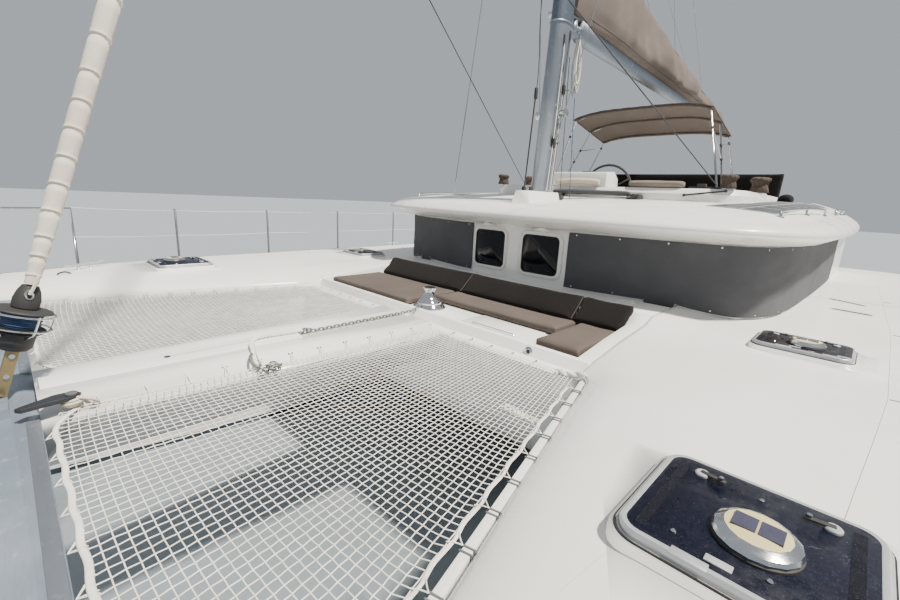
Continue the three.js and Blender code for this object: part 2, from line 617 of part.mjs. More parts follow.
// Flybridge on the roof
const flybridge = (() => {
  const rings = [[0, RECESS_Z - 60], [0, FLY.top - 60], [50, FLY.top]];
  const outer = loft(rings.map(([draw, z]) => flyOutline(draw).map(([x, y]) => [x, y, z])));
  const inside = slab(rounded([FLY.aft + FLY.wall, -FLY.half + FLY.wall],
    [WELL.fore - WELL.wall, FLY.half - FLY.wall], 330, 5), FLOOR_Z, 3400);
  const footwell = box([WELL.aft + WELL.wall, -WELL.half + WELL.wall, WELL.floor + 40],
    [WELL.fore - WELL.wall, WELL.half - WELL.wall, 3400]);
  const tub = box([WELL.aft + 20, -WELL.half + 20, WELL.floor], [WELL.fore - 20, WELL.half - 20,
    RECESS_Z + 20]);
  const body = join(seated(outer, coachroof, [0, 0, GAP]), tub);
  const seat = box([-2170, -1590, RECESS_Z + GAP], [-1560, 1590, FLY.seatTop])
    .intersect(slab(flyOutline(GAP), RECESS_Z, FLY.seatTop));
  return cut(join(cut(body, inside), seat), footwell);
})();

function addFlybridge() {
  piece('flybridge', flybridge, GELCOAT);
  const deck = FLY.top + GAP;
  const pod = profile([[470, deck], [460, 3215], [250, 3235], [125, 3150], [115, deck]], -720, 170);
  piece('helm_console', pod, GELCOAT);

  const pads = slab(rounded([-2150, -1520], [-1570, 1520], 280, 5), FLY.seatTop + GAP, 3010);
  piece('flybridge_seat', pads, TAUPE);
  const back = profile([[-2160, FLY.top + GAP], [-2235, FLY.top + GAP], [-2290, 3395],
    [-2215, 3400]], -1600, 1600);
  piece('flybridge_backrest', back, DARK_PAD);
}

/** Helm wheel about the fore and aft line, in front of the helmsman. */
function addWheel() {
  const { z, radius, deep } = WHEEL;
  const rim = new THREE.TorusGeometry(radius, WHEEL.rim, 8, 32);
  const spokes = [0, 1, 2].map((i) => {
    const angle = i * Math.PI * 2 / 3;
    return bar([0, 0, 0], [radius * Math.cos(angle), radius * Math.sin(angle), 0], 10, 8);
  });
  const hub = bar([0, 0, -30], [0, 0, deep], 45, 20);
  const shape = geometryOf(join(solid(rim), ...spokes, hub));
  shape.rotateY(Math.PI / 2).translate(WELL.fore - WELL.wall - deep - GAP, 0, z);
  piece('helm_wheel', shape, BLACK);
}

const BIMINI = { fore: -550, aft: -1620, half: 960, foreZ: 4060, aftZ: 3850, crown: 90 };

/** Height of the canopy's underside at a place. */
function biminiZ(x, y) {
  const along = (x - BIMINI.aft) / (BIMINI.fore - BIMINI.aft);
  const edge = mix(BIMINI.aftZ, BIMINI.foreZ, along);
  const bulge = Math.sin(Math.PI * THREE.MathUtils.clamp(along, 0, 1));
  return edge + (BIMINI.crown + 30 * bulge) * (1 - (y / BIMINI.half) ** 4);
}

function addBimini() {
  const frames = 6;
  const loops = [];
  for (let i = 0; i <= frames; i++) {
    const x = mix(BIMINI.aft, BIMINI.fore, i / frames);
    const across = Array.from({ length: 13 }, (_, k) => mix(-BIMINI.half, BIMINI.half, k / 12));
    const lower = across.map((y) => [x, y, biminiZ(x, y)]);
    const upper = across.toReversed().map((y) => [x, y, biminiZ(x, y) + 14]);
    loops.push([...lower, ...upper]);
  }
  const canopy = loft(loops);
  piece('bimini_canopy', canopy, TAUPE);

  const drop = 13 + GAP;
  const bows = [BIMINI.fore + 0, mix(BIMINI.fore, BIMINI.aft, 0.5), BIMINI.aft].map((x, i) => {
    const inset = [-25, 0, 25][i];
    const arch = Array.from({ length: 9 }, (_, k) => {
      const y = mix(-BIMINI.half + 30, BIMINI.half - 30, k / 8);
      return [x + inset, y, biminiZ(x + inset, y) - drop];
    });
    return pipe(arch, 12, 6);
  });
  // The legs stand on the flybridge's floor, just outboard of the footwell
  const beside = WELL.half - 20;
  const floor = FLOOR_Z + GAP;
  const legs = [-1, 1].flatMap((hand) => {
    const top = (x) => [x, hand * (BIMINI.half - 30), biminiZ(x, BIMINI.half - 30) - drop];
    const foot = (x) => [x, hand * beside, floor];
    const footStrip = box([-1500, hand * beside - 14, floor], [-250, hand * beside + 14, floor + 12]);
    return [footStrip, bar(foot(-450), top(BIMINI.fore - 25), 12, 6),
      bar(foot(-650), top(mix(BIMINI.fore, BIMINI.aft, 0.5)), 12, 6),
      bar(foot(-1350), top(BIMINI.aft + 25), 12, 6)];
  });
  const frame = seated(join(...bows, ...legs), canopy, [0, 0, -GAP]);
  piece('bimini_frame', seated(frame, flybridge, [0, 0, GAP]), STEEL);
}

// Rig
/** Oval ring of the mast at a height. */
function mastRing(z, long, wide) {
  return Array.from({ length: 16 }, (_, i) => {
    const angle = i * Math.PI / 8;
    return [mastX(z) + long / 2 * Math.cos(angle), wide / 2 * Math.sin(angle), z];
  });
}

const SPREADER = { z: 9600, length: 1150, sweep: 380 };
const TANG_Y = 125;

const mast = (() => {
  const tube = loft([mastRing(MAST_FOOT, MAST_LONG, MAST_WIDE), mastRing(HOUNDS_Z, MAST_LONG, MAST_WIDE),
    mastRing(MAST_TOP, 190, 120)]);
  const x = mastX(HOUNDS_Z);
  const tangs = box([x - 30, -TANG_Y, HOUNDS_Z - 40], [x + 30, TANG_Y, HOUNDS_Z + 40]);
  const stayTang = box([x, -14, HOUNDS_Z], [STAY_TOP[0] + 30, 14, HOUNDS_Z + 90]);
  const [pinX, , pinZ] = GOOSENECK;
  const lugs = [-1, 1].map((side) => box([pinX - 40, -40, pinZ + 80 * side - 10],
    [1500, 40, pinZ + 80 * side + 10]));
  const jaw = box([1400, -40, pinZ - 90], [1500, 40, pinZ + 90]);
  return join(tube, tangs, stayTang, ...lugs, jaw);
})();

/** Swept arm on each side of the mast, that holds its side stays apart. */
function addSpreaders() {
  const root = mastX(SPREADER.z);
  // Columns: y, chord, thickness, share of the sweep
  const arm = loft([[60, 95, 36, 0], [SPREADER.length, 60, 24, 1]]
    .map(([y, chord, thick, out]) => [[1, 0], [0, 1], [-1, 0], [0, -1]].map(([a, b]) =>
      [root - SPREADER.sweep * out + a * chord / 2, y, SPREADER.z + 60 * out + b * thick / 2])));
  pair('spreader', seated(arm, mast, [0, GAP, 0]), ALUMINIUM);
}

/** Round body about the forestay. Columns: height, radius. */
function stayRings(rows, sides) {
  const along = new THREE.Vector3(...STAY_TOP).sub(new THREE.Vector3(...TACK)).normalize();
  const side = new THREE.Vector3(0, 1, 0);
  const up = along.clone().cross(side);
  return loft(rows.map(([z, radius]) => Array.from({ length: sides }, (_, i) => {
    const angle = 2 * Math.PI * i / sides;
    return new THREE.Vector3(...onStay(z)).addScaledVector(side, radius * Math.cos(angle))
      .addScaledVector(up, radius * Math.sin(angle)).toArray();
  })));
}

function addRig() {
  piece('mast', mast, ALUMINIUM);
  addSpreaders();
  const [x, y] = CHAINPLATE;
  const deck = Math.max(...[-45, 45].map((step) => deckZ(x + step, y - 10))) + GAP;
  const plate = box([x - 45, y - 10, deck], [x + 45, y + 10, deck + 110]);
  const radius = 9;
  const wire = bar([x, y, deck + 80], [mastX(HOUNDS_Z), TANG_Y + GAP + radius, HOUNDS_Z], radius, 8);
  pair('shroud', join(wire, plate), STEEL);

  // Columns: height on the stay, radius there
  const sail = [[TACK[2], 27], [2450, 33], [2640, 39], [3270, 41], [3600, 45], [5000, 54], [9000, 57],
    [13500, 42], [15000, 20], [15800, 9], [HOUNDS_Z - 3, 9]];
  const drum = [[DRUM_LOW, 95], [2150, 95], [2150, 45], [2230, 45], [2230, 105], [2250, 105],
    [2250, 26], [TACK[2] - GAP, 26]];
  piece('furled_genoa', stayRings(sail, 12), SAILCLOTH);
  piece('furler_drum', stayRings(drum, 20), BLACK);
}

/** Boom and the sail in its bag, which swing together at the gooseneck. */
function addBoom() {
  const [x, , z] = GOOSENECK;
  const ring = (at, tall, wide, lift) => Array.from({ length: 12 }, (_, i) => {
    const angle = i * Math.PI / 6;
    return [at, wide / 2 * Math.cos(angle), z + lift + tall / 2 * Math.sin(angle)];
  });
  const spar = loft([ring(x - 100, 240, 150, 0), ring(BOOM_END_X, 240, 150, -90)]);
  const tongue = bar([x - 110, 0, z], [x, 0, z], 35, 12);
  const eye = bar([x, 0, z - 70 + GAP], [x, 0, z + 70 - GAP], 40, 16);
  piece('boom', join(spar, tongue, eye), ALUMINIUM);

  // Columns: x, half width, top above the boom's axis, underside
  const bag = [[x - 180, 90, 1180, 60], [600, 190, 1020, 40], [-300, 210, 760, 20],
    [-1600, 200, 560, 10], [-3200, 170, 330, 10], [-4500, 110, 210, 30]];
  const loops = bag.map(([at, half, top, low]) => {
    const drop = -90 * (x - at) / (x - BOOM_END_X);
    const outline = [[-0.6, 0], [-1, 0.2], [-0.92, 0.5], [-0.55, 0.85], [-0.15, 1],
      [0.15, 1], [0.55, 0.85], [0.92, 0.5], [1, 0.2], [0.6, 0]];
    return outline.map(([side, up]) => [at, half * side, z + drop + mix(low, top, up)]);
  });
  piece('sail_bag', seated(loft(loops), spar, [0, 0, GAP]), TAUPE);
}

function addSteeringGear() {
  const y = HULL_Y - 20;
  const blade = loft([[-432, 430, 90, 0], [-1150, 300, 60, 40]].map(([z, chord, thick, rake]) =>
    foil(RUDDER_X + 130 - rake, chord, thick, y).map(([x, side]) => [x, side, z])));
  const stock = bar([RUDDER_X, y, -440], [RUDDER_X, y, -420 - GAP], 45, 20);
  pair('rudder', join(blade, stock), ANTIFOUL);

  const leg = loft([[-1020, 300, 90], [-350, 330, 110]].map(([z, chord, thick]) =>
    foil(DRIVE_X + 150, chord, thick, y).map(([x, side]) => [x, side, z])));
  const pod = bar([DRIVE_X + 190, y, -900], [DRIVE_X - 200, y, -900], 75, 16, 60);
  const skeg = seated(join(leg, pod), portHull, [0, 0, -GAP]);
  pair('saildrive', skeg, finish(0x8f969c, 0.4));

  const hub = bar([DRIVE_X - 200 - GAP, y, -900], [DRIVE_X - 330, y, -900], 55, 16, 30);
  const blades = [0, 1, 2].map((i) => {
    const outline = new THREE.Shape();
    outline.moveTo(-20, 30).lineTo(20, 30);
    outline.bezierCurveTo(90, 110, 75, 215, 0, 225);
    outline.bezierCurveTo(-75, 215, -90, 110, -20, 30);
    const flat = new THREE.ExtrudeGeometry(outline, { depth: 10, bevelEnabled: false, curveSegments: 6 });
    flat.translate(0, 0, -5).rotateY(THREE.MathUtils.degToRad(62)).rotateX(i * Math.PI * 2 / 3);
    return solid(flat.rotateX(Math.PI / 2).translate(DRIVE_X - 260, y, -900));
  });
  pair('propeller', join(hub, ...blades), BRONZE);
}

function addLids() {
  for (const [name, x, y, long, wide] of HATCHES) {
    const outline = rounded([x - long / 2, y - wide / 2], [x + long / 2, y + wide / 2], 60);
    pair(`hatch_lid_${name}`, slab(outline, HATCH_Z + GAP, HATCH_Z + HATCH_THICK), ACRYLIC);
  }
  const lid = slab(rounded([LID.aft, LID.starboard], [LID.fore, LID.port], 25),
    LID.low + GAP, LID.low + LID.thick);
  piece('locker_lid', lid, GELCOAT);
}

function addGroundTackle() {
  const [x, y] = WINDLASS;
  const low = 1878 + GAP;
  const outline = [[0, 0], [88, 0], [92, 12], [70, 30], [48, 60], [38, 90], [44, 112], [56, 120],
    [58, 128], [30, 140], [0, 140]];
  const drum = new THREE.LatheGeometry(outline.map(([r, z]) => new THREE.Vector2(r, z)), 24);
  piece('windlass_drum', solid(drum.rotateX(Math.PI / 2).translate(x, y, low)), STEEL);

  const half = 12;
  const chain = slab([[BEAM_AFT - 60, -half], [BEAM_AFT - 60, half], [3420, half], [3420, -half]]
    .reverse(), CHANNEL_Z + GAP, CHANNEL_Z + 2 * half);
  piece('anchor_chain', seated(seated(chain, foredeckBeam, [0, 0, GAP]), bridgedeck, [0, 0, GAP]),
    STEEL);

  const front = BEAM_AFT + BEAM_WIDE;
  const shank = profile([[front + GAP, 1688], [front + 260, 1560], [front + 240, 1500],
    [front + GAP, 1625]], 140, 170);
  const fluke = loft([[front + 10, 20, 1400], [front + 210, 130, 1460], [front + 330, 60, 1560]]
    .map(([at, half, z]) => [[at, 155 - half, z + 20], [at, 155, z - 30], [at, 155 + half, z + 20],
      [at, 155, z + 30]]));
  piece('anchor', join(shank, fluke), STEEL);
}

/** Stanchions, rails and toe rail of the port side. */
function addGuardrail() {
  const edge = (x, inset = 55) => {
    const [, , outer, sheer] = hullRow(x);
    return [x, outer - inset, deckZ(x, outer - inset) - 2, sheer];
  };
  const stations = [6350, 5900, 5300, 4300, 3100, 1900, 700, -600, -1900, -3200, -4500, -5200];
  const strips = stations.slice(1).map((x, i) => {
    const [x0, y0, z0] = edge(stations[i]);
    const [x1, y1, z1] = edge(x);
    return loft([[x0, y0, z0], [x1, y1, z1]].map(([at, y, z]) =>
      [[at, y - 14, z - 40], [at, y + 14, z - 40], [at, y + 14, z + 32], [at, y - 14, z + 32]]));
  });
  const posts = stations.slice(3, -1).map((x) => {
    const [, y, z] = edge(x);
    return bar([x, y, z], [x, y, z + 640], 13, 6);
  });
  const rail = (xs, tops) => xs.map((x, i) => [x, edge(x)[1], edge(x)[2] + tops[i]]);
  const bow = pipe([[6500, 2590, 2440], [6560, 2720, 2450], [6500, 2850, 2450],
    ...rail([5900, 5300], [640, 640]), [5300, edge(5300)[1], edge(5300)[2]]], 15, 6);
  const bowLegs = [pipe([[6500, 2590, 2440], [6380, 2610, 1840]], 13, 6),
    bar([6500, 2850, 2450], [6350, edge(6350)[1], edge(6350)[2]], 13, 6),
    bar([5900, edge(5900)[1], edge(5900)[2] + 640], [5900, edge(5900)[1], edge(5900)[2]], 13, 6)];
  const stern = pipe([...rail([-4500, -5200], [640, 640]), [-5200, edge(-5200)[1],
    edge(-5200)[2]]], 15, 6);
  const body = join(...strips, ...posts, bow, ...bowLegs, stern);
  pair('guardrail', seated(body, portHull, [0, 0, GAP]), STEEL);
}

function addPads() {
  const { aft, strip, fore, half, wellPort, wellStarboard } = BENCH;
  const pad = (low, high) => box([...low, SEAT_Z + GAP], [...high, PAD_Z]);
  piece('seat_pad_starboard', pad([aft + 120, -half + 4], [fore - 6, wellStarboard]), TAUPE);
  piece('seat_pad_centre', pad([aft + 120, wellStarboard + 6], [strip, wellPort - 6]), TAUPE);
  piece('seat_pad_port', pad([aft + 120, wellPort], [fore - 6, half - 4]), TAUPE);

  // Columns: name, starboard end y, port end y
  const backs = [['starboard', -1470, -170], ['centre', -164, 1060], ['port', 1066, 1480]];
  for (const [name, low, high] of backs) {
    const side = [[aft + 116, SEAT_Z + GAP], [2425 + GAP, LEDGE_Z + GAP], [2440, 2065], [2500, 2070],
      [aft + 116, 1900]];
    piece(`backrest_${name}`, seated(profile(side, low, high), bridgedeck, [GAP, 0, GAP]), DARK_PAD);
  }
}

addHulls();
addBridgedeck();
addForedeck();
addNets();
addCabin();
addCovers();
addFlybridge();
addWheel();
addBimini();
addRig();
addBoom();
addSteeringGear();
addLids();
addGroundTackle();
addGuardrail();
addPads();

export default craft;
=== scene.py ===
"""Looks of a sailing catamaran afloat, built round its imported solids, in metres.

+X is forward, +Y is port, +Z is up, and the floor lies at the water's level.
"""

import logging
from collections.abc import Callable, Iterable, Sequence
from dataclasses import dataclass, field
from enum import Enum
from math import atan2, cos, exp, pi, radians, sin, tan
from typing import Protocol

import bmesh
import bpy
from mathutils import Matrix, Vector, noise
from mathutils.bvhtree import BVHTree


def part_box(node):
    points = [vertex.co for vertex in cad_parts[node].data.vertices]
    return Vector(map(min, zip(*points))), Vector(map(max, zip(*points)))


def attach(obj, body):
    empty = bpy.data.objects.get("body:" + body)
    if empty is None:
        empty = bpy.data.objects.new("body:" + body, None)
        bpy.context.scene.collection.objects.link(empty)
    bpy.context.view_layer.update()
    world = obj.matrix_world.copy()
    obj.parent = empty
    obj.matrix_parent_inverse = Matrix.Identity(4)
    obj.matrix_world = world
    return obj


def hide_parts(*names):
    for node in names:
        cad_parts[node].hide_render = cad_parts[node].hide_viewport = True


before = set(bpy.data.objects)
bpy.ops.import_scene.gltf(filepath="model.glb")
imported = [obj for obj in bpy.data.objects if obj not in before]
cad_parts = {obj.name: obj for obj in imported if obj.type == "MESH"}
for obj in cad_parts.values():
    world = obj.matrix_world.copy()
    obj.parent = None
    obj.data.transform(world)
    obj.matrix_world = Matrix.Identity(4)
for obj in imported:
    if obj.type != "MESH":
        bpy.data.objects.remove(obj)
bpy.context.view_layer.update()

LOG = logging.getLogger("catamaran")
MM = 0.001
SWELL_FRAMES = 20
Point = Sequence[float]
Pair = tuple[float, float]
Place = Callable[[float, float, float], Vector]
Shape = bmesh.types.BMesh
Corner = bmesh.types.BMVert
Mesh = bpy.types.Mesh
Thing = bpy.types.Object
Tree = bpy.types.NodeTree
Node = bpy.types.Node
Socket = bpy.types.NodeSocket
ROOT = "root"
SIDES = ((1, "port"), (-1, "starboard"))


def linear(colour: str) -> tuple[float, float, float, float]:
    """Turns an sRGB hex colour to linear light.

    Args:
        colour: Six hex digits after a hash.

    Returns:
        Red, green, blue and an alpha of one.
    """
    parts = [int(colour[i:i + 2], 16) / 255 for i in (1, 3, 5)]
    red, green, blue = (c / 12.92 if c <= 0.04045 else ((c + 0.055) / 1.055) ** 2.4 for c in parts)
    return red, green, blue, 1.0


def add(tree: Tree, kind: str, inputs: dict | None = None, **settings) -> Node:
    """Adds one shader node.

    Args:
        tree: The material's node tree.
        kind: The node's type, without its ShaderNode prefix.
        inputs: Values or output sockets, by the name or number of the input socket.
        **settings: Attributes of the node.

    Returns:
        The new node.
    """
    made = tree.nodes.new("ShaderNode" + kind)
    for name, value in settings.items():
        setattr(made, name, value)
    for key, value in (inputs or {}).items():
        if isinstance(value, Socket):
            tree.links.new(value, made.inputs[key])
        else:
            made.inputs[key].default_value = value
    return made


class Slot(Enum):
    """Material slots of the record."""

    GELCOAT = "gelcoat"
    ALUMINIUM = "aluminium"
    STAINLESS = "stainless"
    NETTING = "netting"
    COVER = "cover_fabric"
    ACRYLIC = "acrylic"
    TAUPE = "taupe_fabric"
    DARK = "dark_fabric"
    SAILCLOTH = "sailcloth"
    BLACK = "black_plastic"
    GREY_PAINT = "grey_paint"
    BRONZE = "bronze"


# Finishes


@dataclass(frozen=True)
class Finish:
    """A surface, with its colour, how rough it is and the record's slot that it usually takes."""

    name: str
    colour: str
    roughness: float
    slot: Slot = Slot.GELCOAT

    def material(self) -> bpy.types.Material:
        """Makes the material once and gives it back each time after."""
        made = bpy.data.materials.get(self.name)
        if made is None:
            made = bpy.data.materials.new(self.name)
            made.use_nodes = True
            made.diffuse_color = linear(self.colour)
            shader = made.node_tree.nodes["Principled BSDF"]
            shader.inputs["Base Color"].default_value = linear(self.colour)
            shader.inputs["Roughness"].default_value = self.roughness
            self.dress(made.node_tree, shader)
        return made

    def dress(self, tree: Tree, shader: Node) -> None:
        """Adds what this finish shows beyond its colour."""

    def spots(self, tree: Tree, size: float, detail: float = 3.0) -> Socket:
        """Soft random cloud on the object's own coordinates.

        Args:
            tree: The material's node tree.
            size: Size of one spot in millimetres.
            detail: How many finer layers it has.

        Returns:
            A value from 0 to 1, mostly near the middle.
        """
        place = add(tree, "TexCoord").outputs["Object"]
        made = add(tree, "TexNoise", {"Vector": place, "Scale": 1000 / size, "Detail": detail})
        return made.outputs[0]

    def ranged(self, tree: Tree, value: Socket, source: Point, target: Point) -> Socket:
        """Maps a value from one range to another, and clamps it."""
        made = add(
            tree, "MapRange",
            {
                "Value": value, "From Min": source[0], "From Max": source[1], "To Min": target[0],
                "To Max": target[1]
            }
        )
        return made.outputs["Result"]

    def tinted(self, tree: Tree, factor: Socket, first: object, second: object) -> Socket:
        """Mixes two colours, each a hex value or a socket, by a factor."""
        pair = [linear(c) if isinstance(c, str) else c for c in (first, second)]
        made = add(tree, "Mix", {0: factor, 6: pair[0], 7: pair[1]}, data_type="RGBA")
        return made.outputs[2]

    def raised(self, tree: Tree, shader: Node, height: Socket, depth: float, strength: float = 1.0) -> None:
        """Puts a bump on the shader, its depth in millimetres, over any that is there."""
        inputs = {"Height": height, "Distance": depth * MM, "Strength": strength}
        if shader.inputs["Normal"].is_linked:
            inputs["Normal"] = shader.inputs["Normal"].links[0].from_socket
        bump = add(tree, "Bump", inputs)
        tree.links.new(bump.outputs["Normal"], shader.inputs["Normal"])


@dataclass(frozen=True)
class Gelcoat(Finish):
    """Moulded polyester gelcoat, polished. It gives the eye a hard white gloss, dulled where decks grip."""

    grip: bool = False
    waterline: str | None = None

    def dress(self, tree: Tree, shader: Node) -> None:
        """Adds faint yellowing, fine scuffs, the decks' grip and the paint under water."""
        shader.inputs["Coat Weight"].default_value = 0.25
        shader.inputs["Coat Roughness"].default_value = 0.12
        aged = self.ranged(tree, self.spots(tree, 900), (0.35, 0.75), (0, 1))
        tone = self.tinted(tree, aged, self.colour, "#ecebe6")
        scuff = self.ranged(tree, self.spots(tree, 14, 6), (0.62, 0.78), (0, 0.35))
        tone = self.tinted(tree, scuff, tone, "#dddcd8")
        rough = self.ranged(
            tree, self.spots(tree, 160, 5), (0.3, 0.7), (self.roughness * 0.8, self.roughness * 1.5)
        )
        if self.grip:
            # A moulded grip of 4 mm cells, on what lies level only
            place = add(tree, "TexCoord").outputs["Object"]
            up = add(tree, "SeparateXYZ", {0: add(tree, "NewGeometry").outputs["Normal"]}).outputs["Z"]
            level = self.ranged(tree, up, (0.93, 0.975), (0, 1))
            cells = add(tree, "TexVoronoi", {"Vector": place, "Scale": 1000 / 4}).outputs["Distance"]
            height = add(tree, "Math", {0: cells, 1: level}, operation="MULTIPLY").outputs[0]
            self.raised(tree, shader, height, 0.5, 0.35)
            rough = add(
                tree, "Math", {0: rough, 1: self.ranged(tree, level, (0, 1), (0, 0.3))}, operation="ADD"
            ).outputs[0]
        if self.waterline:
            place = add(tree, "TexCoord").outputs["Object"]
            height = add(tree, "SeparateXYZ", {0: place}).outputs["Z"]
            under = self.ranged(tree, height, (0.06, 0.062), (1, 0))
            tone = self.tinted(tree, under, tone, self.waterline)
        tree.links.new(tone, shader.inputs["Base Color"])
        tree.links.new(rough, shader.inputs["Roughness"])


@dataclass(frozen=True)
class Metal(Finish):
    """Polished, brushed or anodised metal. It gives the eye streaked reflections and small scratches."""

    slot: Slot = Slot.STAINLESS
    metallic: float = 1.0
    streak: float = 0.12
    marks: str | None = None

    def dress(self, tree: Tree, shader: Node) -> None:
        """Adds drawn streaks along the metal, uneven gloss and pale scratches."""
        shader.inputs["Metallic"].default_value = self.metallic
        place = add(tree, "TexCoord").outputs["Object"]
        drawn = add(tree, "Mapping", {"Vector": place, "Scale": (40, 1.5, 40)})
        lines = add(tree, "TexNoise", {"Vector": drawn.outputs[0], "Scale": 12, "Detail": 4}).outputs[0]
        rough = self.ranged(
            tree, lines, (0.3, 0.7),
            (self.roughness * (1 - self.streak * 2), self.roughness * (1 + self.streak * 3))
        )
        tree.links.new(rough, shader.inputs["Roughness"])
        if self.marks:
            scratch = self.ranged(tree, self.spots(tree, 45, 9), (0.62, 0.76), (0, 0.22))
            wide = self.ranged(tree, self.spots(tree, 420, 4), (0.42, 0.62), (0, 0.4))
            tone = self.tinted(tree, wide, self.colour, self.marks)
            tone = self.tinted(tree, scratch, tone, "#dfe3e6")
            tree.links.new(tone, shader.inputs["Base Color"])


@dataclass(frozen=True)
class Canvas(Finish):
    """Woven acrylic canvas, solution dyed. It gives the eye a dry matt weave, faded in soft patches."""

    slot: Slot = Slot.TAUPE
    faded: str = "#ffffff"
    thread: float = 3.0
    fold: float = 4.0

    def dress(self, tree: Tree, shader: Node) -> None:
        """Adds the weave, faded patches, creases and a soft sheen."""
        shader.inputs["Sheen Weight"].default_value = 0.04
        shader.inputs["Specular IOR Level"].default_value = 0.2
        shader.inputs["Sheen Roughness"].default_value = 0.6
        place = add(tree, "TexCoord").outputs["Object"]
        axes = add(tree, "SeparateXYZ", {0: place}).outputs
        across = add(tree, "Math", {0: axes["X"], 1: axes["Y"]}, operation="ADD").outputs[0]
        # The real threads are 0.6 mm apart, and are drawn coarser so that they show
        turn = 2000 * pi / self.thread
        waves = [
            add(
                tree, "Math", {0: add(tree, "Math", {0: axis, 1: turn}, operation="MULTIPLY").outputs[0]},
                operation="SINE"
            ).outputs[0] for axis in (across, axes["Z"])
        ]
        weave = add(tree, "Math", {0: waves[0], 1: waves[1]}, operation="MULTIPLY").outputs[0]
        self.raised(tree, shader, weave, 0.25, 0.5)
        self.raised(tree, shader, self.spots(tree, 110, 2), self.fold, 0.5)
        patch = self.ranged(tree, self.spots(tree, 340, 4), (0.38, 0.68), (0, 0.7))
        fleck = self.ranged(tree, self.spots(tree, 5, 2), (0.35, 0.65), (0, 0.35))
        tone = self.tinted(tree, patch, self.colour, self.faded)
        tone = self.tinted(tree, fleck, tone, self.faded)
        tree.links.new(tone, shader.inputs["Base Color"])


@dataclass(frozen=True)
class Cordage(Finish):
    """Braided polyester cord. It gives the eye soft fibre, greyed by salt and sun."""

    slot: Slot = Slot.NETTING
    soiled: str = "#b9b4a8"

    def dress(self, tree: Tree, shader: Node) -> None:
        """Adds the braid's small bumps and greyed stretches."""
        shader.inputs["Sheen Weight"].default_value = 0.2
        grey = self.ranged(tree, self.spots(tree, 90, 4), (0.4, 0.7), (0, 0.8))
        tree.links.new(self.tinted(tree, grey, self.colour, self.soiled), shader.inputs["Base Color"])
        self.raised(tree, shader, self.spots(tree, 4, 2), 1.0, 0.6)


@dataclass(frozen=True)
class Tinted(Finish):
    """Cast acrylic sheet, tinted. It gives the eye a deep dark gloss with faint crazing and salt."""

    slot: Slot = Slot.ACRYLIC
    bloom: str = "#2c3a55"
    amount: float = 0.6

    def dress(self, tree: Tree, shader: Node) -> None:
        """Adds mottled salt bloom, fine specks and small waves in the gloss."""
        shader.inputs["Coat Weight"].default_value = 0.1
        shader.inputs["Specular IOR Level"].default_value = 0.35
        shader.inputs["Coat Roughness"].default_value = 0.04
        shader.inputs["IOR"].default_value = 1.4
        cloud = self.ranged(tree, self.spots(tree, 60, 6), (0.4, 0.7), (0, self.amount))
        speck = self.ranged(tree, self.spots(tree, 3.5, 3), (0.58, 0.72), (0, self.amount))
        tone = self.tinted(tree, cloud, self.colour, self.bloom)
        tone = self.tinted(tree, speck, tone, "#53617c")
        tree.links.new(tone, shader.inputs["Base Color"])
        rough = self.ranged(tree, self.spots(tree, 30, 5), (0.3, 0.7), (self.roughness, self.roughness * 3))
        tree.links.new(rough, shader.inputs["Roughness"])


@dataclass(frozen=True)
class Moulded(Finish):
    """Moulded plastic or cast paint. It gives the eye a fine pebble and pale dusty patches."""

    slot: Slot = Slot.BLACK
    rubbed: str = "#4a4b4d"

    def dress(self, tree: Tree, shader: Node) -> None:
        """Adds the mould's pebble and pale dust."""
        self.raised(tree, shader, self.spots(tree, 1.5, 2), 0.2, 0.4)
        dust = self.ranged(tree, self.spots(tree, 40, 5), (0.45, 0.75), (0, 0.6))
        tree.links.new(self.tinted(tree, dust, self.colour, self.rubbed), shader.inputs["Base Color"])


@dataclass(frozen=True)
class Timber(Finish):
    """Sawn teak, weathered. It gives the eye straight grain in brown and silver."""

    slot: Slot = Slot.STAINLESS
    grain: str = "#7a5433"

    def dress(self, tree: Tree, shader: Node) -> None:
        """Adds grain drawn out along the boat."""
        place = add(tree, "TexCoord").outputs["Object"]
        drawn = add(tree, "Mapping", {"Vector": place, "Scale": (2, 60, 60)})
        lines = add(tree, "TexNoise", {"Vector": drawn.outputs[0], "Scale": 3, "Detail": 5}).outputs[0]
        dark = self.ranged(tree, lines, (0.4, 0.62), (0, 1))
        tree.links.new(self.tinted(tree, dark, self.colour, self.grain), shader.inputs["Base Color"])
        self.raised(tree, shader, lines, 0.6, 0.6)


DECK = Gelcoat("deck_gelcoat", "#f3f3f1", 0.3, grip=True)
HULL = Gelcoat("hull_gelcoat", "#f3f3f1", 0.22, grip=True, waterline="#23303c")
SMOOTH_GELCOAT = Gelcoat("smooth_gelcoat", "#f4f4f2", 0.18)
BEAM_ALLOY = Metal("anodised_beam", "#76828f", 0.52, metallic=0.3, marks="#a0aab4", slot=Slot.ALUMINIUM)
SPAR_ALLOY = Metal("anodised_spar", "#868e98", 0.36, metallic=0.65, marks="#777f89", slot=Slot.ALUMINIUM)
# Anodised spar colour darkened to paint the shade on the mast above its collar
SPAR_PAINTED_SHADE = Metal("spar_painted_shade", "#5c6774", 0.42, metallic=0.6, marks="#6c7783")
STEEL = Metal("polished_stainless", "#cfd2d4", 0.16)
DULL_STEEL = Metal("satin_stainless", "#b4b7ba", 0.34)
BRASS = Metal("cast_bronze", "#8a6a3c", 0.38, slot=Slot.BRONZE)
FRAME_ALLOY = Metal("hatch_frame_alloy", "#c4c8cc", 0.42, metallic=0.6, slot=Slot.ALUMINIUM)
LINK_GOLD = Metal("gold_link", "#a08f6a", 0.38, metallic=0.8)
CHROME = Metal("chromed_bronze", "#d3d5d8", 0.09, streak=0.05)
GALVANISED = Metal("galvanised_chain", "#8f8f8c", 0.48, metallic=0.85)
LIGHT_BLADE = Metal("grey_blade", "#3f4146", 0.4, metallic=0.6, slot=Slot.ALUMINIUM)
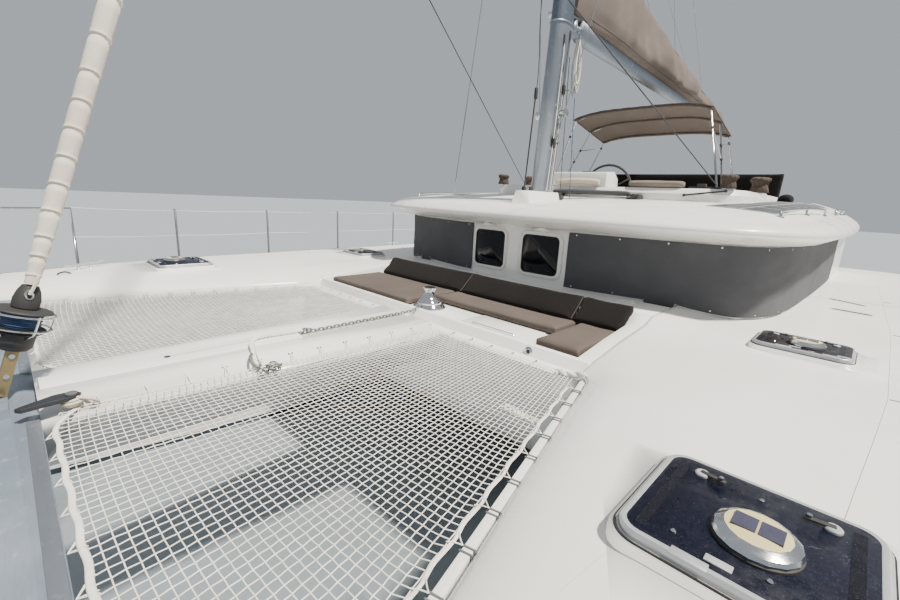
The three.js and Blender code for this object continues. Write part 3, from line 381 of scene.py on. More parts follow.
NET_CORD = Cordage("net_cord", "#f3f1ec", 0.8, soiled="#d8d4ca")
ROPE_WHITE = Cordage("white_rope", "#f2f0ea", 0.85, soiled="#d6d2c7")
ROPE_TAN = Cordage("tan_rope", "#ddd2bd", 0.9)
ROPE_BLUE = Cordage("blue_rope", "#2d4a78", 0.85, soiled="#54688a", slot=Slot.BLACK)
ROPE_TIE = Cordage("tie_cord", "#55565a", 0.85, soiled="#6c6d70")
ROPE_BLACK = Cordage("black_rope", "#202124", 0.85, soiled="#3b3c40", slot=Slot.BLACK)
ROPE_GREY = Cordage("grey_rope", "#8f9094", 0.85, soiled="#6f7074")
COVER_CLOTH = Canvas("window_cover_cloth", "#494a4e", 0.85, faded="#56575b", fold=4.0, slot=Slot.COVER)
PIPING_CLOTH = Canvas("piping_cloth", "#57524e", 0.85, faded="#625d59", slot=Slot.SAILCLOTH)
TAUPE_CLOTH = Canvas("taupe_canvas", "#655c56", 0.9, faded="#746b64", fold=3.0)
SEAT_CLOTH = Canvas("seat_canvas", "#554d48", 0.9, faded="#605852", fold=1.5)
# Near black: the backrests' own dark cloth, deepened with painted shade
BACK_CLOTH_WITH_SHADE = Canvas("backrest_canvas_painted_shade", "#100e0e", 0.85, faded="#191615", fold=3.0, slot=Slot.DARK)
BIMINI_CLOTH = Canvas("bimini_canvas", "#685e57", 0.9, faded="#766c64", fold=2.0)
BEIGE_CLOTH = Canvas("beige_canvas", "#7d746b", 0.9, faded="#8c8379", fold=3.0)
CREAM_CLOTH = Canvas("cream_canvas", "#c4b9a6", 0.9, faded="#d2c8b7", fold=3.0)
BROWN_CLOTH = Canvas("brown_canvas", "#4c423b", 0.9, faded="#5a4f47", fold=2.5)
SAIL_CLOTH = Canvas("furled_sail", "#e6e0d2", 0.8, faded="#d9d2c0", thread=6.0, fold=2.0, slot=Slot.SAILCLOTH)
BLACK_CLOTH = Canvas("black_canvas", "#111213", 0.9, faded="#1b1c1f", fold=3.0, slot=Slot.DARK)
HATCH_ACRYLIC = Tinted("hatch_acrylic", "#07091a", 0.2, bloom="#101328", amount=0.3)
WINDOW_ACRYLIC = Tinted("window_acrylic", "#0b0d10", 0.05, bloom="#191d22", amount=0.3)
SOLAR_CELL = Tinted("solar_cell", "#3c3a4c", 0.1, bloom="#4d4c63", amount=0.5)
PANEL_CELL = Tinted("solar_panel", "#4c4f54", 0.3, bloom="#5a5d62", amount=0.6)
CREAM_DOME = Tinted("cream_dome", "#d3c793", 0.2, bloom="#ddd3a8", amount=0.3)
HATCH_BORDER = Tinted("hatch_border", "#0c0b12", 0.16, bloom="#15131b", amount=0.4)
MID_ACRYLIC = Tinted("brown_acrylic", "#1d191b", 0.2, bloom="#292427", amount=0.5)
DRIVE_PAINT = Moulded("drive_paint", "#7c848a", 0.42, rubbed="#9aa1a6", slot=Slot.GREY_PAINT)
BLACK_PLASTIC = Moulded("black_plastic", "#1b1c1e", 0.5)
GREY_PLASTIC = Moulded("grey_plastic", "#56585c", 0.55, rubbed="#77797d")
RUBBER = Moulded("window_rubber", "#131314", 0.6, rubbed="#2c2c2e")
WHITE_PLASTIC = Moulded("white_plastic", "#e4e3de", 0.4, rubbed="#cfcdc6", slot=Slot.GELCOAT)
LIGHT_GREY = Moulded("light_grey_plastic", "#a5a8ab", 0.42, rubbed="#c1c3c5")
TEAK = Timber("weathered_teak", "#b08a62", 0.7)
PLANK = Timber("grey_plank", "#9a938a", 0.75, grain="#7b746b")
SEAM_GREY = Finish("seam_grey", "#8b8c8e", 0.7)
WIRE_COAT = Finish("coated_wire", "#dcdcd8", 0.4, slot=Slot.STAINLESS)


# Shapes


def settle(
    name: str, shape: Shape | Mesh, finish: Finish | Sequence[Finish], body: str = ROOT,
    replaces: Iterable[str] = (), crease: float = 35.0
) -> Thing:
    """Turns a shape into a piece of the boat.

    Args:
        name: The piece's name.
        shape: Its form, in metres in the boat's frame. A bmesh is freed.
        finish: One finish, or one for each material number of its faces.
        body: The body that it rides on.
        replaces: Solids that it stands for.
        crease: Edges sharper than this, in degrees, stay hard.

    Returns:
        The piece's object, at the origin.
    """
    mesh = meshed(name, shape) if isinstance(shape, Shape) else shape
    made = placed(name, mesh)
    finishes = [finish] if isinstance(finish, Finish) else finish
    for one in finishes:
        mesh.materials.append(one.material())
    mesh.shade_smooth()
    mesh.set_sharp_from_angle(angle=radians(crease))
    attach(made, body)
    if replaces:
        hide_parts(*replaces)
    LOG.info("%s rides on %s, %d faces", name, body, len(mesh.polygons))
    return made


def placed(name: str, data: bpy.types.ID) -> Thing:
    """New object of the scene, at the origin."""
    made = bpy.data.objects.new(name, data)
    bpy.context.scene.collection.objects.link(made)
    return made


def evaluated(holder: Thing) -> Mesh:
    """New mesh of what an object shows, which is removed."""
    seen = holder.evaluated_get(bpy.context.evaluated_depsgraph_get())
    mesh = bpy.data.meshes.new_from_object(seen)
    bpy.data.objects.remove(holder)
    return mesh


def meshed(name: str, shape: Shape) -> Mesh:
    """New mesh of a bmesh, which is freed."""
    mesh = bpy.data.meshes.new(name)
    shape.to_mesh(mesh)
    shape.free()
    return mesh


def copied(node: str) -> Shape:
    """Copy of a solid with its triangles joined."""
    shape = bmesh.new()
    shape.from_mesh(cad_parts[node].data)
    bmesh.ops.remove_doubles(shape, verts=shape.verts, dist=0.02 * MM)
    return shape


def eased(shape: Shape, width: float, steps: int = 2, sharper: float = 35.0) -> None:
    """Rounds the hard edges of a copied solid.

    Args:
        shape: The copy.
        width: Width of the rounding in millimetres.
        steps: Faces across the rounding.
        sharper: Only edges sharper than this, in degrees.
    """
    bmesh.ops.dissolve_limit(shape, angle_limit=radians(0.4), verts=shape.verts, edges=shape.edges)
    limit = radians(sharper)
    hard = [e for e in shape.edges if len(e.link_faces) == 2 and e.calc_face_angle(0) > limit]
    bmesh.ops.bevel(
        shape, geom=hard, offset=width * MM, affect="EDGES", segments=steps, profile=0.5, material=-1,
        clamp_overlap=True
    )


def relaxed(shape: Shape, factor: float) -> None:
    """Draws each vertex some share of the way to the middle of its neighbours."""
    bmesh.ops.smooth_vert(
        shape, verts=shape.verts, factor=factor, use_axis_x=True, use_axis_y=True, use_axis_z=True
    )


def block(
    shape: Shape, low: Point, high: Point, round_by: float = 0.0, steps: int = 2, number: int = 0
) -> None:
    """Adds a box with rounded edges between two corners.

    Args:
        shape: The bmesh it joins.
        low: Its lowest corner in metres.
        high: Its highest corner in metres.
        round_by: Radius of its edges in metres.
        steps: Faces across a rounded edge.
        number: Material number of its faces.
    """
    size = [b - a for a, b in zip(low, high)]
    middle = [(a + b) / 2 for a, b in zip(low, high)]
    box = bmesh.new()
    bmesh.ops.create_cube(box, size=1, matrix=Matrix.Translation(middle) @ Matrix.Diagonal((*size, 1)))
    if round_by:
        bmesh.ops.bevel(
            box, geom=box.edges[:], offset=round_by, affect="EDGES", segments=steps, profile=0.5, material=-1
        )
    joined(shape, box, number)


def lathe(
    shape: Shape, rows: Sequence[Point], centre: Point, axis: Point = (0, 0, 1), sides: int = 32,
    number: int = 0
) -> None:
    """Adds a turned form.

    Args:
        shape: The bmesh it joins.
        rows: Radius and height of each point of its outline, in millimetres, from the bottom up.
        centre: The foot of its axis in metres.
        axis: Direction of its axis.
        sides: Faces round it.
        number: Material number of its faces.
    """
    turned = bmesh.new()
    verts = [turned.verts.new((radius * MM, 0, height * MM)) for radius, height in rows]
    edges = [turned.edges.new(pair) for pair in zip(verts, verts[1:])]
    bmesh.ops.spin(
        turned, geom=verts + edges, cent=(0, 0, 0), axis=(0, 0, 1), angle=2 * pi, steps=sides, use_merge=True
    )
    bmesh.ops.remove_doubles(turned, verts=turned.verts, dist=0.01 * MM)
    bmesh.ops.recalc_face_normals(turned, faces=turned.faces)
    way = Vector(axis).to_track_quat("Z", "Y").to_matrix().to_4x4()
    turned.transform(Matrix.Translation(centre) @ way)
    joined(shape, turned, number)


def cords(paths: Iterable[Sequence[Point]], radius: float, sides: int = 6, smooth: bool = True) -> Mesh:
    """One mesh of round cords.

    Args:
        paths: The points that each cord runs through, in metres.
        radius: Their radius in millimetres.
        sides: Faces round a cord, an even number.
        smooth: Whether they bend softly between their points.

    Returns:
        The mesh.
    """
    curve = bpy.data.curves.new("cords", "CURVE")
    curve.dimensions = "3D"
    curve.bevel_depth = radius * MM
    curve.bevel_resolution = (sides - 4) // 2
    curve.use_fill_caps = True
    curve.resolution_u = 4
    for path in paths:
        run = curve.splines.new("NURBS" if smooth and len(path) > 2 else "POLY")
        run.points.add(len(path) - 1)
        for spot, place in zip(run.points, path):
            spot.co = (*place, 1)
        if run.type == "NURBS":
            run.order_u = 3
            run.use_endpoint_u = True
    mesh = evaluated(placed("cords", curve))
    bpy.data.curves.remove(curve)
    return mesh


def joined(shape: Shape, other: Shape | Mesh, number: int = 0) -> None:
    """Adds a mesh or another bmesh to a bmesh, under one material number, and removes it."""
    mesh = meshed("part", other) if isinstance(other, Shape) else other
    mesh.polygons.foreach_set("material_index", [number] * len(mesh.polygons))
    shape.from_mesh(mesh)
    bpy.data.meshes.remove(mesh)


def laid(
    shape: Shape, paths: Iterable[Sequence[Point]], radius: float, sides: int = 6, number: int = 0,
    smooth: bool = True
) -> None:
    """Adds round cords to a shape, each along its own path."""
    joined(shape, cords(paths, radius, sides, smooth), number)


def cord(
    shape: Shape, path: Sequence[Point], radius: float, sides: int = 6, number: int = 0, smooth: bool = True
) -> None:
    """Adds one round cord to a shape."""
    laid(shape, [path], radius, sides, number, smooth)


def lofted(shape: Shape, rings: Sequence[Sequence[Corner]], number: int = 0) -> None:
    """Closes rings of vertices to a skin, and caps both ends.

    Args:
        shape: The bmesh that holds the vertices.
        rings: Rings of equal length, in their order along the form.
        number: Material number of its faces.
    """
    faces = [shape.faces.new(rings[0][::-1]), shape.faces.new(rings[-1])]
    for lower, upper in zip(rings, rings[1:]):
        for i in range(len(lower)):
            k = (i + 1) % len(lower)
            faces.append(shape.faces.new([lower[i], lower[k], upper[k], upper[i]]))
    for face in faces:
        face.material_index = number
    bmesh.ops.recalc_face_normals(shape, faces=faces)


def turns(count: int, start: float = 0.0) -> list[float]:
    """Angles spread evenly over one turn, in radians."""
    return [start + 2 * pi * i / count for i in range(count)]


def hoop(centre: Point, across: Point, away: Point, sides: int) -> list[Vector]:
    """Closed path round a centre. Its two radii are given as vectors."""
    path = [Vector(centre) + Vector(across) * cos(a) + Vector(away) * sin(a) for a in turns(sides)]
    return [*path, path[0]]


def outward(angle: float) -> Vector:
    """Level direction at an angle from the bow's, in radians to port."""
    return Vector((cos(angle), sin(angle), 0))


def vec(x: float, y: float, z: float) -> Vector:
    """Vector of three parts."""
    return Vector((x, y, z))


def above(rise: float) -> Vector:
    """Step straight up by some metres, or down if it is negative."""
    return Vector((0, 0, rise))


def smooth_path(spots: Sequence[Point], step: float) -> list[Vector]:
    """Points at an even step along a soft curve through some places.

    Args:
        spots: The places, in metres.
        step: Distance between the points in metres.

    Returns:
        The points.
    """
    ends = [Vector(spot) for spot in spots]
    ends = [2 * ends[0] - ends[1], *ends, 2 * ends[-1] - ends[-2]]
    fine = []
    for a, b, c, d in zip(ends, ends[1:], ends[2:], ends[3:]):
        slope, bend, twist = c - a, 2 * a - 5 * b + 4 * c - d, 3 * b - a - 3 * c + d
        for i in range(24):
            t = i / 24
            fine.append(0.5 * (2 * b + slope * t + bend * t ** 2 + twist * t ** 3))
    fine.append(ends[-2])
    far = [0.0]
    for a, b in zip(fine, fine[1:]):
        far.append(far[-1] + (b - a).length)
    count = max(1, round(far[-1] / step))
    made, i = [], 0
    for k in range(count + 1):
        goal = far[-1] * k / count
        while i < len(fine) - 2 and far[i + 1] < goal:
            i += 1
        share = (goal - far[i]) / max(far[i + 1] - far[i], 1e-9)
        made.append(fine[i].lerp(fine[i + 1], min(share, 1.0)))
    return made


def band(path: Sequence[Point], widths: Sequence[float], thick: float, sides: int = 12) -> Shape:
    """Flat woven band that lies level across, with rounded edges.

    Args:
        path: The points that its middle runs through, in metres.
        widths: Its width at each point, in millimetres.
        thick: Its thickness in millimetres.
        sides: Faces round it.

    Returns:
        The closed band.
    """
    shape = bmesh.new()
    rings = []
    for i, spot in enumerate(path):
        along = (Vector(path[min(i + 1, len(path) - 1)]) - Vector(path[max(i - 1, 0)])).normalized()
        out = along.cross((0, 0, 1)).normalized()
        up = out.cross(along)
        rings.append([
            shape.verts.new(
                Vector(spot) + out * cos(angle) * widths[i] * MM / 2 + up * sin(angle) * thick * MM / 2
            ) for angle in turns(sides)
        ])
    lofted(shape, rings)
    return shape


def strands(path: Sequence[Point], count: int, spread: float, pitch: float) -> list[list[Vector]]:
    """Paths of strands that are twisted round a path.

    Args:
        path: The points that the rope runs through.
        count: How many strands it has.
        spread: How far a strand lies from the rope's middle, in millimetres.
        pitch: Length of one turn in millimetres.

    Returns:
        One path for each strand.
    """
    step = pitch * MM / 6
    spots = [Vector(path[0])]
    for start, end in zip(path, path[1:]):
        run = Vector(end) - Vector(start)
        pieces = max(1, round(run.length / step))
        spots += [Vector(start) + run * (i + 1) / pieces for i in range(pieces)]
    made = []
    for strand in range(count):
        line, far = [], 0.0
        for i, spot in enumerate(spots):
            along = (spots[min(i + 1, len(spots) - 1)] - spots[max(i - 1, 0)]).normalized()
            side = (along.orthogonal() if abs(along.z) > 0.9 else along.cross((0, 0, 1))).normalized()
            angle = 2 * pi * (far / (pitch * MM) + strand / count)
            out = side * cos(angle) + along.cross(side) * sin(angle)
            line.append(spot + out * spread * MM)
            if i < len(spots) - 1:
                far += (spots[i + 1] - spot).length
        made.append(line)
    return made


class Surface:
    """What a solid's skin holds at a place, found by a ray."""

    def __init__(self, *nodes: str) -> None:
        """Keeps the skins of some solids."""
        self.trees = []
        for node in nodes:
            shape = copied(node)
            self.trees.append(BVHTree.FromBMesh(shape))
            shape.free()

    def hit(self, start: Point, way: Point) -> Vector:
        """Nearest point that a ray meets, or its start if it meets none."""
        found = [tree.ray_cast(Vector(start), Vector(way)) for tree in self.trees]
        near = [spot for spot in found if spot[0] is not None]
        return min(near, key=lambda spot: spot[3])[0] if near else Vector(start)

    def top(self, x: float, y: float, rise: float = 0.0) -> Vector:
        """Point on the skin under a place seen from above, raised by some metres."""
        return self.hit((x, y, 6.0), (0, 0, -1)) + above(rise)


def mix(first: float, second: float, share: float) -> float:
    """Value a share of the way from the first to the second."""
    return first + (second - first) * share


class Part(Protocol):
    """Something of the boat that makes its own pieces."""

    def build(self) -> object:
        """Makes them."""


@dataclass(frozen=True)
class Sided:
    """A part of one side of the boat: port if its hand is 1, starboard if it is -1."""

    hand: int

    @property
    def side(self) -> str:
        """Name of its side."""
        return "port" if self.hand > 0 else "starboard"

    def mirrored(self, spot: Point) -> Vector:
        """The point on this part's own side, for a point of the port side."""
        return vec(spot[0], spot[1] * self.hand, spot[2])


# Camera and studio


@dataclass(frozen=True)
class Viewpoint:
    """Where the photograph was taken from, and how it looks."""

    place: tuple[float, float, float] = (5.8, 2.69, 2.81)
    heading: float = 3.9058
    down: float = 0.23373
    roll: float = -0.051938
    lens: float = 17.2
    sensor: float = 36.0

    def set_up(self) -> None:
        """Adds the camera."""
        level, dip = cos(self.down), -sin(self.down)
        forward = vec(cos(self.heading) * level, sin(self.heading) * level, dip)
        right = vec(sin(self.heading), -cos(self.heading), 0)
        low = forward.cross(right)
        cosine, sine = cos(self.roll), sin(self.roll)
        across = cosine * right + sine * low
        up = sine * right - cosine * low
        data = bpy.data.cameras.new("viewpoint")
        data.lens = self.lens
        data.sensor_width = self.sensor
        data.clip_end = 500
        eye = placed("viewpoint", data)
        turn = Matrix((across, up, -forward)).transposed().to_4x4()
        eye.matrix_world = Matrix.Translation(self.place) @ turn
        bpy.context.scene.camera = eye


@dataclass(frozen=True)
class Studio:
    """Plain pale floor at the water's level, and soft light."""

    floor: float = 260.0
    sky: str = "#dfe5ec"
    ground: str = "#8f989f"
    sky_strength: float = 0.6
    sun_strength: float = 8.5
    sun_soft: float = 4.0
    sun_from: tuple[float, float, float] = (-0.13, 0.56, 1.0)

    def set_up(self) -> None:
        """Adds the floor, the sky and one soft key light."""
        shape = bmesh.new()
        bmesh.ops.create_grid(shape, x_segments=1, y_segments=1, size=self.floor / 2)
        ground = placed("floor", meshed("floor", shape))
        ground.data.materials.append(Finish("plain_floor", self.ground, 0.9).material())
        world = bpy.data.worlds.new("soft_sky")
        world.use_nodes = True
        backdrop = world.node_tree.nodes["Background"]
        backdrop.inputs["Color"].default_value = linear(self.sky)
        backdrop.inputs["Strength"].default_value = self.sky_strength
        bpy.context.scene.world = world
        light = bpy.data.lights.new("key", "SUN")
        light.energy = self.sun_strength
        light.angle = radians(self.sun_soft)
        light.color = linear("#fff6ea")[:3]
        key = placed("key", light)
        key.rotation_euler = Vector(self.sun_from).to_track_quat("Z", "Y").to_euler()


# Rigid solids that keep their form


@dataclass(frozen=True)
class Skin:
    """How one solid is dressed: its edges rounded by some millimetres, and its finish."""

    node: str
    finish: Finish
    body: str = ROOT
    ease: float = 0.0
    crease: float = 32.0

    def build(self) -> Thing:
        """Makes a smooth copy that stands for the solid."""
        shape = copied(self.node)
        if self.ease:
            eased(shape, self.ease)
        return settle(f"{self.node}_skin", shape, self.finish, self.body, [self.node], self.crease)


def both(
    node: str, finish: Finish, ease: float = 0.0, crease: float = 32.0, bodies: tuple[str, str] = (ROOT, ROOT)
) -> list[Skin]:
    """Skins of a port solid and its starboard twin."""
    return [Skin(f"{node}_{side}", finish, body, ease, crease) for (_, side), body in zip(SIDES, bodies)]


SKINS = [
    *both("hull", HULL, crease=40), Skin("bridgedeck", DECK, ease=9),
    Skin("cockpit_table", SMOOTH_GELCOAT, ease=5), Skin("foredeck_beam", SMOOTH_GELCOAT, crease=60),
    Skin("crossbeam", BEAM_ALLOY, ease=3), Skin("beam_striker", DULL_STEEL),
    *both("net_bar", SMOOTH_GELCOAT, ease=3), Skin("cabin_front", SMOOTH_GELCOAT),
    *both("cabin_side", SMOOTH_GELCOAT), Skin("cabin_bulkhead", SMOOTH_GELCOAT, ease=3),
    Skin("bulkhead_window", WINDOW_ACRYLIC), Skin("saloon_door", WINDOW_ACRYLIC, body="door", ease=3),
    Skin("coachroof", DECK, crease=42), Skin("flybridge", DECK, ease=8),
    Skin("helm_console", SMOOTH_GELCOAT, ease=14), Skin("helm_wheel", BLACK_PLASTIC, body="wheel", crease=50),
    *both("spreader", SPAR_ALLOY, ease=4), *both("shroud", STEEL, crease=50),
    Skin("boom", SPAR_ALLOY, body="boom_rig", crease=45),
    *both("rudder", HULL, bodies=("rudder_p", "rudder_s")), *both("saildrive", DRIVE_PAINT),
    *both("propeller", BRASS, bodies=("prop_p", "prop_s")),
    Skin("locker_lid", SMOOTH_GELCOAT, body="locker", ease=4), Skin("anchor", DULL_STEEL, ease=3),
    Skin("bimini_frame", STEEL, crease=50),
]


# Nets


@dataclass(frozen=True)
class Net(Sided):
    """A trampoline net, square knotless mesh laced to the beams on all its sides.

    Attributes:
        cell: Width of one mesh in millimetres.
        cord: Radius of its cords in millimetres.
        level: Height of the net.
        fore: X of its fore edge.
        aft: X of its aft edge.
        bar: Where the outer bar's inner face lies at its fore end, and how it draws in aft.
        ties: First place, spacing and count of the ties round the outer bar.
        eyes: The same for the eyes in the crossbeam.
        inner_hooks: The same for the hooks on the foredeck beam.
        aft_hooks: The same for the hooks on the ledge aft of the net.
    """

    cell: float = 33.0
    cord: float = 2.1
    level: float = 1.801
    fore: float = 5.752
    aft: float = 3.556
    bar: Pair = (2.217, 0.264)
    ties: tuple[float, float, int] = (5.153, 0.182, 9)
    eyes: tuple[float, float, int] = (0.5, 0.1905, 9)
    inner_hooks: tuple[float, float, int] = (5.605, -0.187, 12)
    aft_hooks: tuple[float, float, int] = (0.528, 0.187, 6)

    def bar_y(self, x: float) -> float:
        """Inner face of the bar outboard of the net."""
        return self.bar[0] - self.bar[1] * (5.8 - x)

    def inner_y(self, x: float) -> float:
        """Foot of the raised middle of the beam inboard of the net."""
        return 0.8 * mix(0.445, 0.305, (x - 3.55) / 2.25) + 0.01

    def edge(self, side: str, share: float) -> Vector:
        """Point of one of the net's four edges.

        Args:
            side: inner, outer, fore or aft.
            share: How far along it, aft or outboard.

        Returns:
            The point in metres, with the port side's y.
        """
        bow = sin(pi * share)
        if side in ("inner", "outer"):
            x = mix(self.fore - 0.03, self.aft, share)
            if side == "inner":
                return vec(x, self.inner_y(x) + 0.012 * bow, self.level)
            x = mix(self.fore - 0.06, self.aft - 0.04, share)
            return vec(x, self.bar_y(x) - 0.046, self.level)
        low, high = (self.edge(edge, float(side == "aft")) for edge in ("inner", "outer"))
        spot = low.lerp(high, share)
        spot.x += 0.058 * bow ** 0.4 if side == "fore" else -0.012 * bow
        return spot

    def spot(self, u: float, v: float) -> Vector:
        """Point of the net at shares aft and outboard, drawn evenly between its edges."""
        inner, outer = self.edge("inner", u), self.edge("outer", u)
        fore, aft = self.edge("fore", v), self.edge("aft", v)
        corners = [self.edge("inner", 0), self.edge("outer", 0), self.edge("inner", 1), self.edge("outer", 1)]
        plain = corners[0].lerp(corners[1], v).lerp(corners[2].lerp(corners[3], v), u)
        place = inner.lerp(outer, v) + fore.lerp(aft, u) - plain
        place.z -= 0.02 * sin(pi * u) * sin(pi * v)
        return self.mirrored(place)

    def mesh_cords(self) -> list[list[Vector]]:
        """Cords of both directions, each over and under the others by turns."""
        rows = round((self.fore - self.aft) * 1000 / self.cell)
        wide = (self.bar_y(4.65) - self.inner_y(4.65)) * 1000
        lines = round(wide / self.cell)
        lift = self.cord * MM * 0.7
        made = []
        for i in range(rows + 1):
            u = i / rows
            made.append([self.spot(u, j / lines) + above(lift * (-1) ** (i + j)) for j in range(lines + 1)])
        for j in range(lines + 1):
            v = j / lines
            made.append([self.spot(i / rows, v) - above(lift * (-1) ** (i + j)) for i in range(rows + 1)])
        return made

    @staticmethod
    def spaced(places: tuple[float, float, int]) -> list[float]:
        """Evenly spaced places, from the first, the step and the count."""
        start, step, count = places
        return [start + step * i for i in range(count)]

    def tie_points(self) -> list[Vector]:
        """Places on the outer bar where the net is tied, with the port side's y."""
        start, step, count = self.ties
        spots = [start - step * i for i in range(count)] + [start + step * (i + 1) for i in range(3)]
        return [vec(x, self.bar_y(x), self.level - 0.004) for x in sorted(spots, reverse=True)]

    def eye_points(self) -> list[Vector]:
        """Places on the crossbeam's aft face where the net is laced, with the port side's y."""
        return [vec(5.797, y, self.level - 0.012) for y in self.spaced(self.eyes)]

    def fore_rope(self) -> list[Vector]:
        """Route of the flat rope along the fore edge, drawn a little to each eye."""
        eyes = self.eye_points()
        route = [
            vec(self.fore - 0.085, self.inner_y(self.fore) + 0.012, self.level + 0.004),
            vec(self.fore - 0.008, 0.395, self.level + 0.006)
        ]
        for a, b in zip(eyes, [*eyes[1:], None]):
            route.append(vec(self.fore + 0.015, a.y, self.level + 0.004))
            if b is not None:
                route.append(vec(self.fore + 0.009, (a.y + b.y) / 2, self.level + 0.006))
        route.append(vec(self.fore - 0.045, self.bar_y(self.fore) - 0.085, self.level + 0.004))
        return smooth_path([self.mirrored(spot) for spot in route], 0.012)

    def outer_band(self) -> tuple[list[Vector], list[float]]:
        """Route of the flat band along the outer edge, and its width, gathered at each tie."""
        ties = self.tie_points()
        route = [vec(self.fore - 0.045, self.bar_y(self.fore) - 0.085, self.level + 0.004)]
        for a, b in zip(ties, [*ties[1:], None]):
            route.append(vec(a.x, a.y - 0.031, self.level + 0.004))
            if b is not None:
                x = mix(a.x, b.x, 0.42)
                route.append(vec(x, self.bar_y(x) - 0.04, self.level + 0.006))
        path = smooth_path([self.mirrored(spot) for spot in route], 0.01)
        near = [min(abs(spot.x - tie.x) for tie in ties) for spot in path]
        return path, [mix(12, 18, min(1.0, gap / 0.07)) for gap in near]

    def build(self) -> None:
        """Makes the mesh, its ropes, its lacing and its ties."""
        settle(
            f"net_{self.side}", cords(self.mesh_cords(), self.cord, smooth=False), NET_CORD,
            replaces=[f"trampoline_{self.side}"], crease=80
        )
        shape = bmesh.new()
        fore = self.fore_rope()
        joined(shape, band(fore, [20] * len(fore), 9))
        joined(shape, band(*self.outer_band(), 7))
        settle(f"net_bolt_rope_{self.side}", shape, ROPE_WHITE, crease=80)
        self.build_lacing()
        self.build_ties()

    def build_lacing(self) -> None:
        """Makes the thin lines from the net's edges to the beams and the ledge."""
        lines = []
        for eye in self.eye_points():
            for step in (-0.046, -0.034, 0.032, 0.044):
                rope = vec(self.fore + 0.002, eye.y + step, self.level + 0.011)
                lines.append([rope, rope.lerp(eye, 0.6) + above(0.003), eye])
        for tie in self.tie_points():
            for step in (-0.028, 0.028):
                lines.append([
                    vec(tie.x + step, tie.y - 0.04, self.level + 0.008),
                    vec(tie.x + step * 0.35, tie.y - 0.02, self.level + 0.01),
                    vec(tie.x, tie.y + 0.002, self.level + 0.006)
                ])
        inner, aft = self.spaced(self.inner_hooks), self.spaced(self.aft_hooks)
        for x in inner:
            hook = vec(x, self.inner_y(x) - 0.035, self.level + 0.028)
            lines += [[vec(x + step, self.inner_y(x) + 0.008, self.level), hook] for step in (-0.014, 0.014)]
        for y in aft:
            hook = vec(3.492, y, self.level + 0.004)
            lines += [[vec(self.aft + 0.01, y + step, self.level), hook] for step in (-0.014, 0.014)]
        if self.side == "port":
            # Mended patch, knotted together beside the outer edge
            for k in range(8):
                knots = [
                    vec(
                        4.165 + 0.03 * sin(1.7 * k + 2.1 * j) + 0.012 * j / 6, 1.535 + 0.195 * j / 6,
                        self.level + 0.007 + 0.007 * sin(k + 1.3 * j)
                    ) for j in range(7)
                ]
                lines.append(smooth_path(knots, 0.012))
        made = cords([[self.mirrored(spot) for spot in line] for line in lines], 2.3, 6)
        shape = bmesh.new()
        joined(shape, made)
        settle(f"net_lacing_{self.side}", shape, ROPE_WHITE, crease=80)
        hooks = bmesh.new()
        spots = [vec(x, self.inner_y(x) - 0.04, self.level + 0.024) for x in inner]
        spots += [vec(3.488, y, self.level - 0.004) for y in aft]
        for spot in spots:
            for step in (-0.011, 0.011):
                foot = self.mirrored(spot + vec(step, 0, 0))
                lathe(hooks, [(0, 0), (6.5, 0), (6.5, 3), (4.5, 6), (0, 7)], foot, sides=10)
        settle(f"net_hooks_{self.side}", hooks, GREY_PLASTIC, crease=40)

    def build_ties(self) -> None:
        """Makes the dark double loops round the outer bar, and the black block beside each."""
        loops, wide, high = [], 0.0385, 0.0385
        blocks = bmesh.new()
        along = vec(1, self.bar[1], 0).normalized()
        out = vec(-self.bar[1], 1, 0).normalized()
        reach = out * (wide + 0.002)
        for tie in self.tie_points():
            for step in (-0.011, 0.011):
                corner = vec(tie.x, tie.y, 1.7975) + along * step - out * 0.0025
                ring = [corner, corner + reach, corner + reach - above(high), corner - above(high), corner]
                loops.append([self.mirrored(spot) for spot in ring])
            foot = self.mirrored(vec(tie.x, tie.y, 1.768) + out * 0.047)
            block(blocks, foot - vec(0.016, 0.008, 0.012), foot + vec(0.016, 0.008, 0.012), 0.003)
        shape = bmesh.new()
        laid(shape, loops, 3.6, 6, 1, smooth=False)
        joined(shape, blocks)
        settle(f"net_ties_{self.side}", shape, [BLACK_PLASTIC, ROPE_TIE], crease=60)


# Soft pieces


def remeshed(shape: Shape, voxel: float) -> Mesh:
    """Even quads over a closed shape, which is freed.

    Args:
        shape: The closed shape.
        voxel: Size of a quad in millimetres.

    Returns:
        The new mesh.
    """
    holder = placed("soft", meshed("soft", shape))
    made = holder.modifiers.new("voxels", "REMESH")
    made.mode = "VOXEL"
    made.voxel_size = voxel * MM
    return evaluated(holder)


def swollen(mesh: Mesh, pressure: float, reach: float) -> None:
    """Blows a closed cloth up from inside by a simulation, and keeps the result in the mesh.

    Args:
        mesh: The closed cloth.
        pressure: Air pressure inside it.
        reach: How far a point may move, in millimetres.
    """
    scene = bpy.context.scene
    holder = placed("soft", mesh)
    cloth = holder.modifiers.new("cloth", "CLOTH")
    cloth.settings.quality = 4
    cloth.settings.use_pressure = True
    cloth.settings.uniform_pressure_force = pressure
    cloth.settings.shrink_min = -0.025
    cloth.settings.effector_weights.gravity = 0
    cloth.point_cache.frame_end = SWELL_FRAMES
    for step in range(1, SWELL_FRAMES + 1):
        scene.frame_set(step)
    seen = holder.evaluated_get(bpy.context.evaluated_depsgraph_get())
    places = [v.co.copy() for v in seen.data.vertices]
    scene.frame_set(1)
    bpy.data.objects.remove(holder)
    low = min(v.co.z for v in mesh.vertices)
    for vertex, place in zip(mesh.vertices, places):
        move = place - vertex.co
        move.length = min(move.length, reach * MM)
        vertex.co += move
        vertex.co.z = max(vertex.co.z, low)


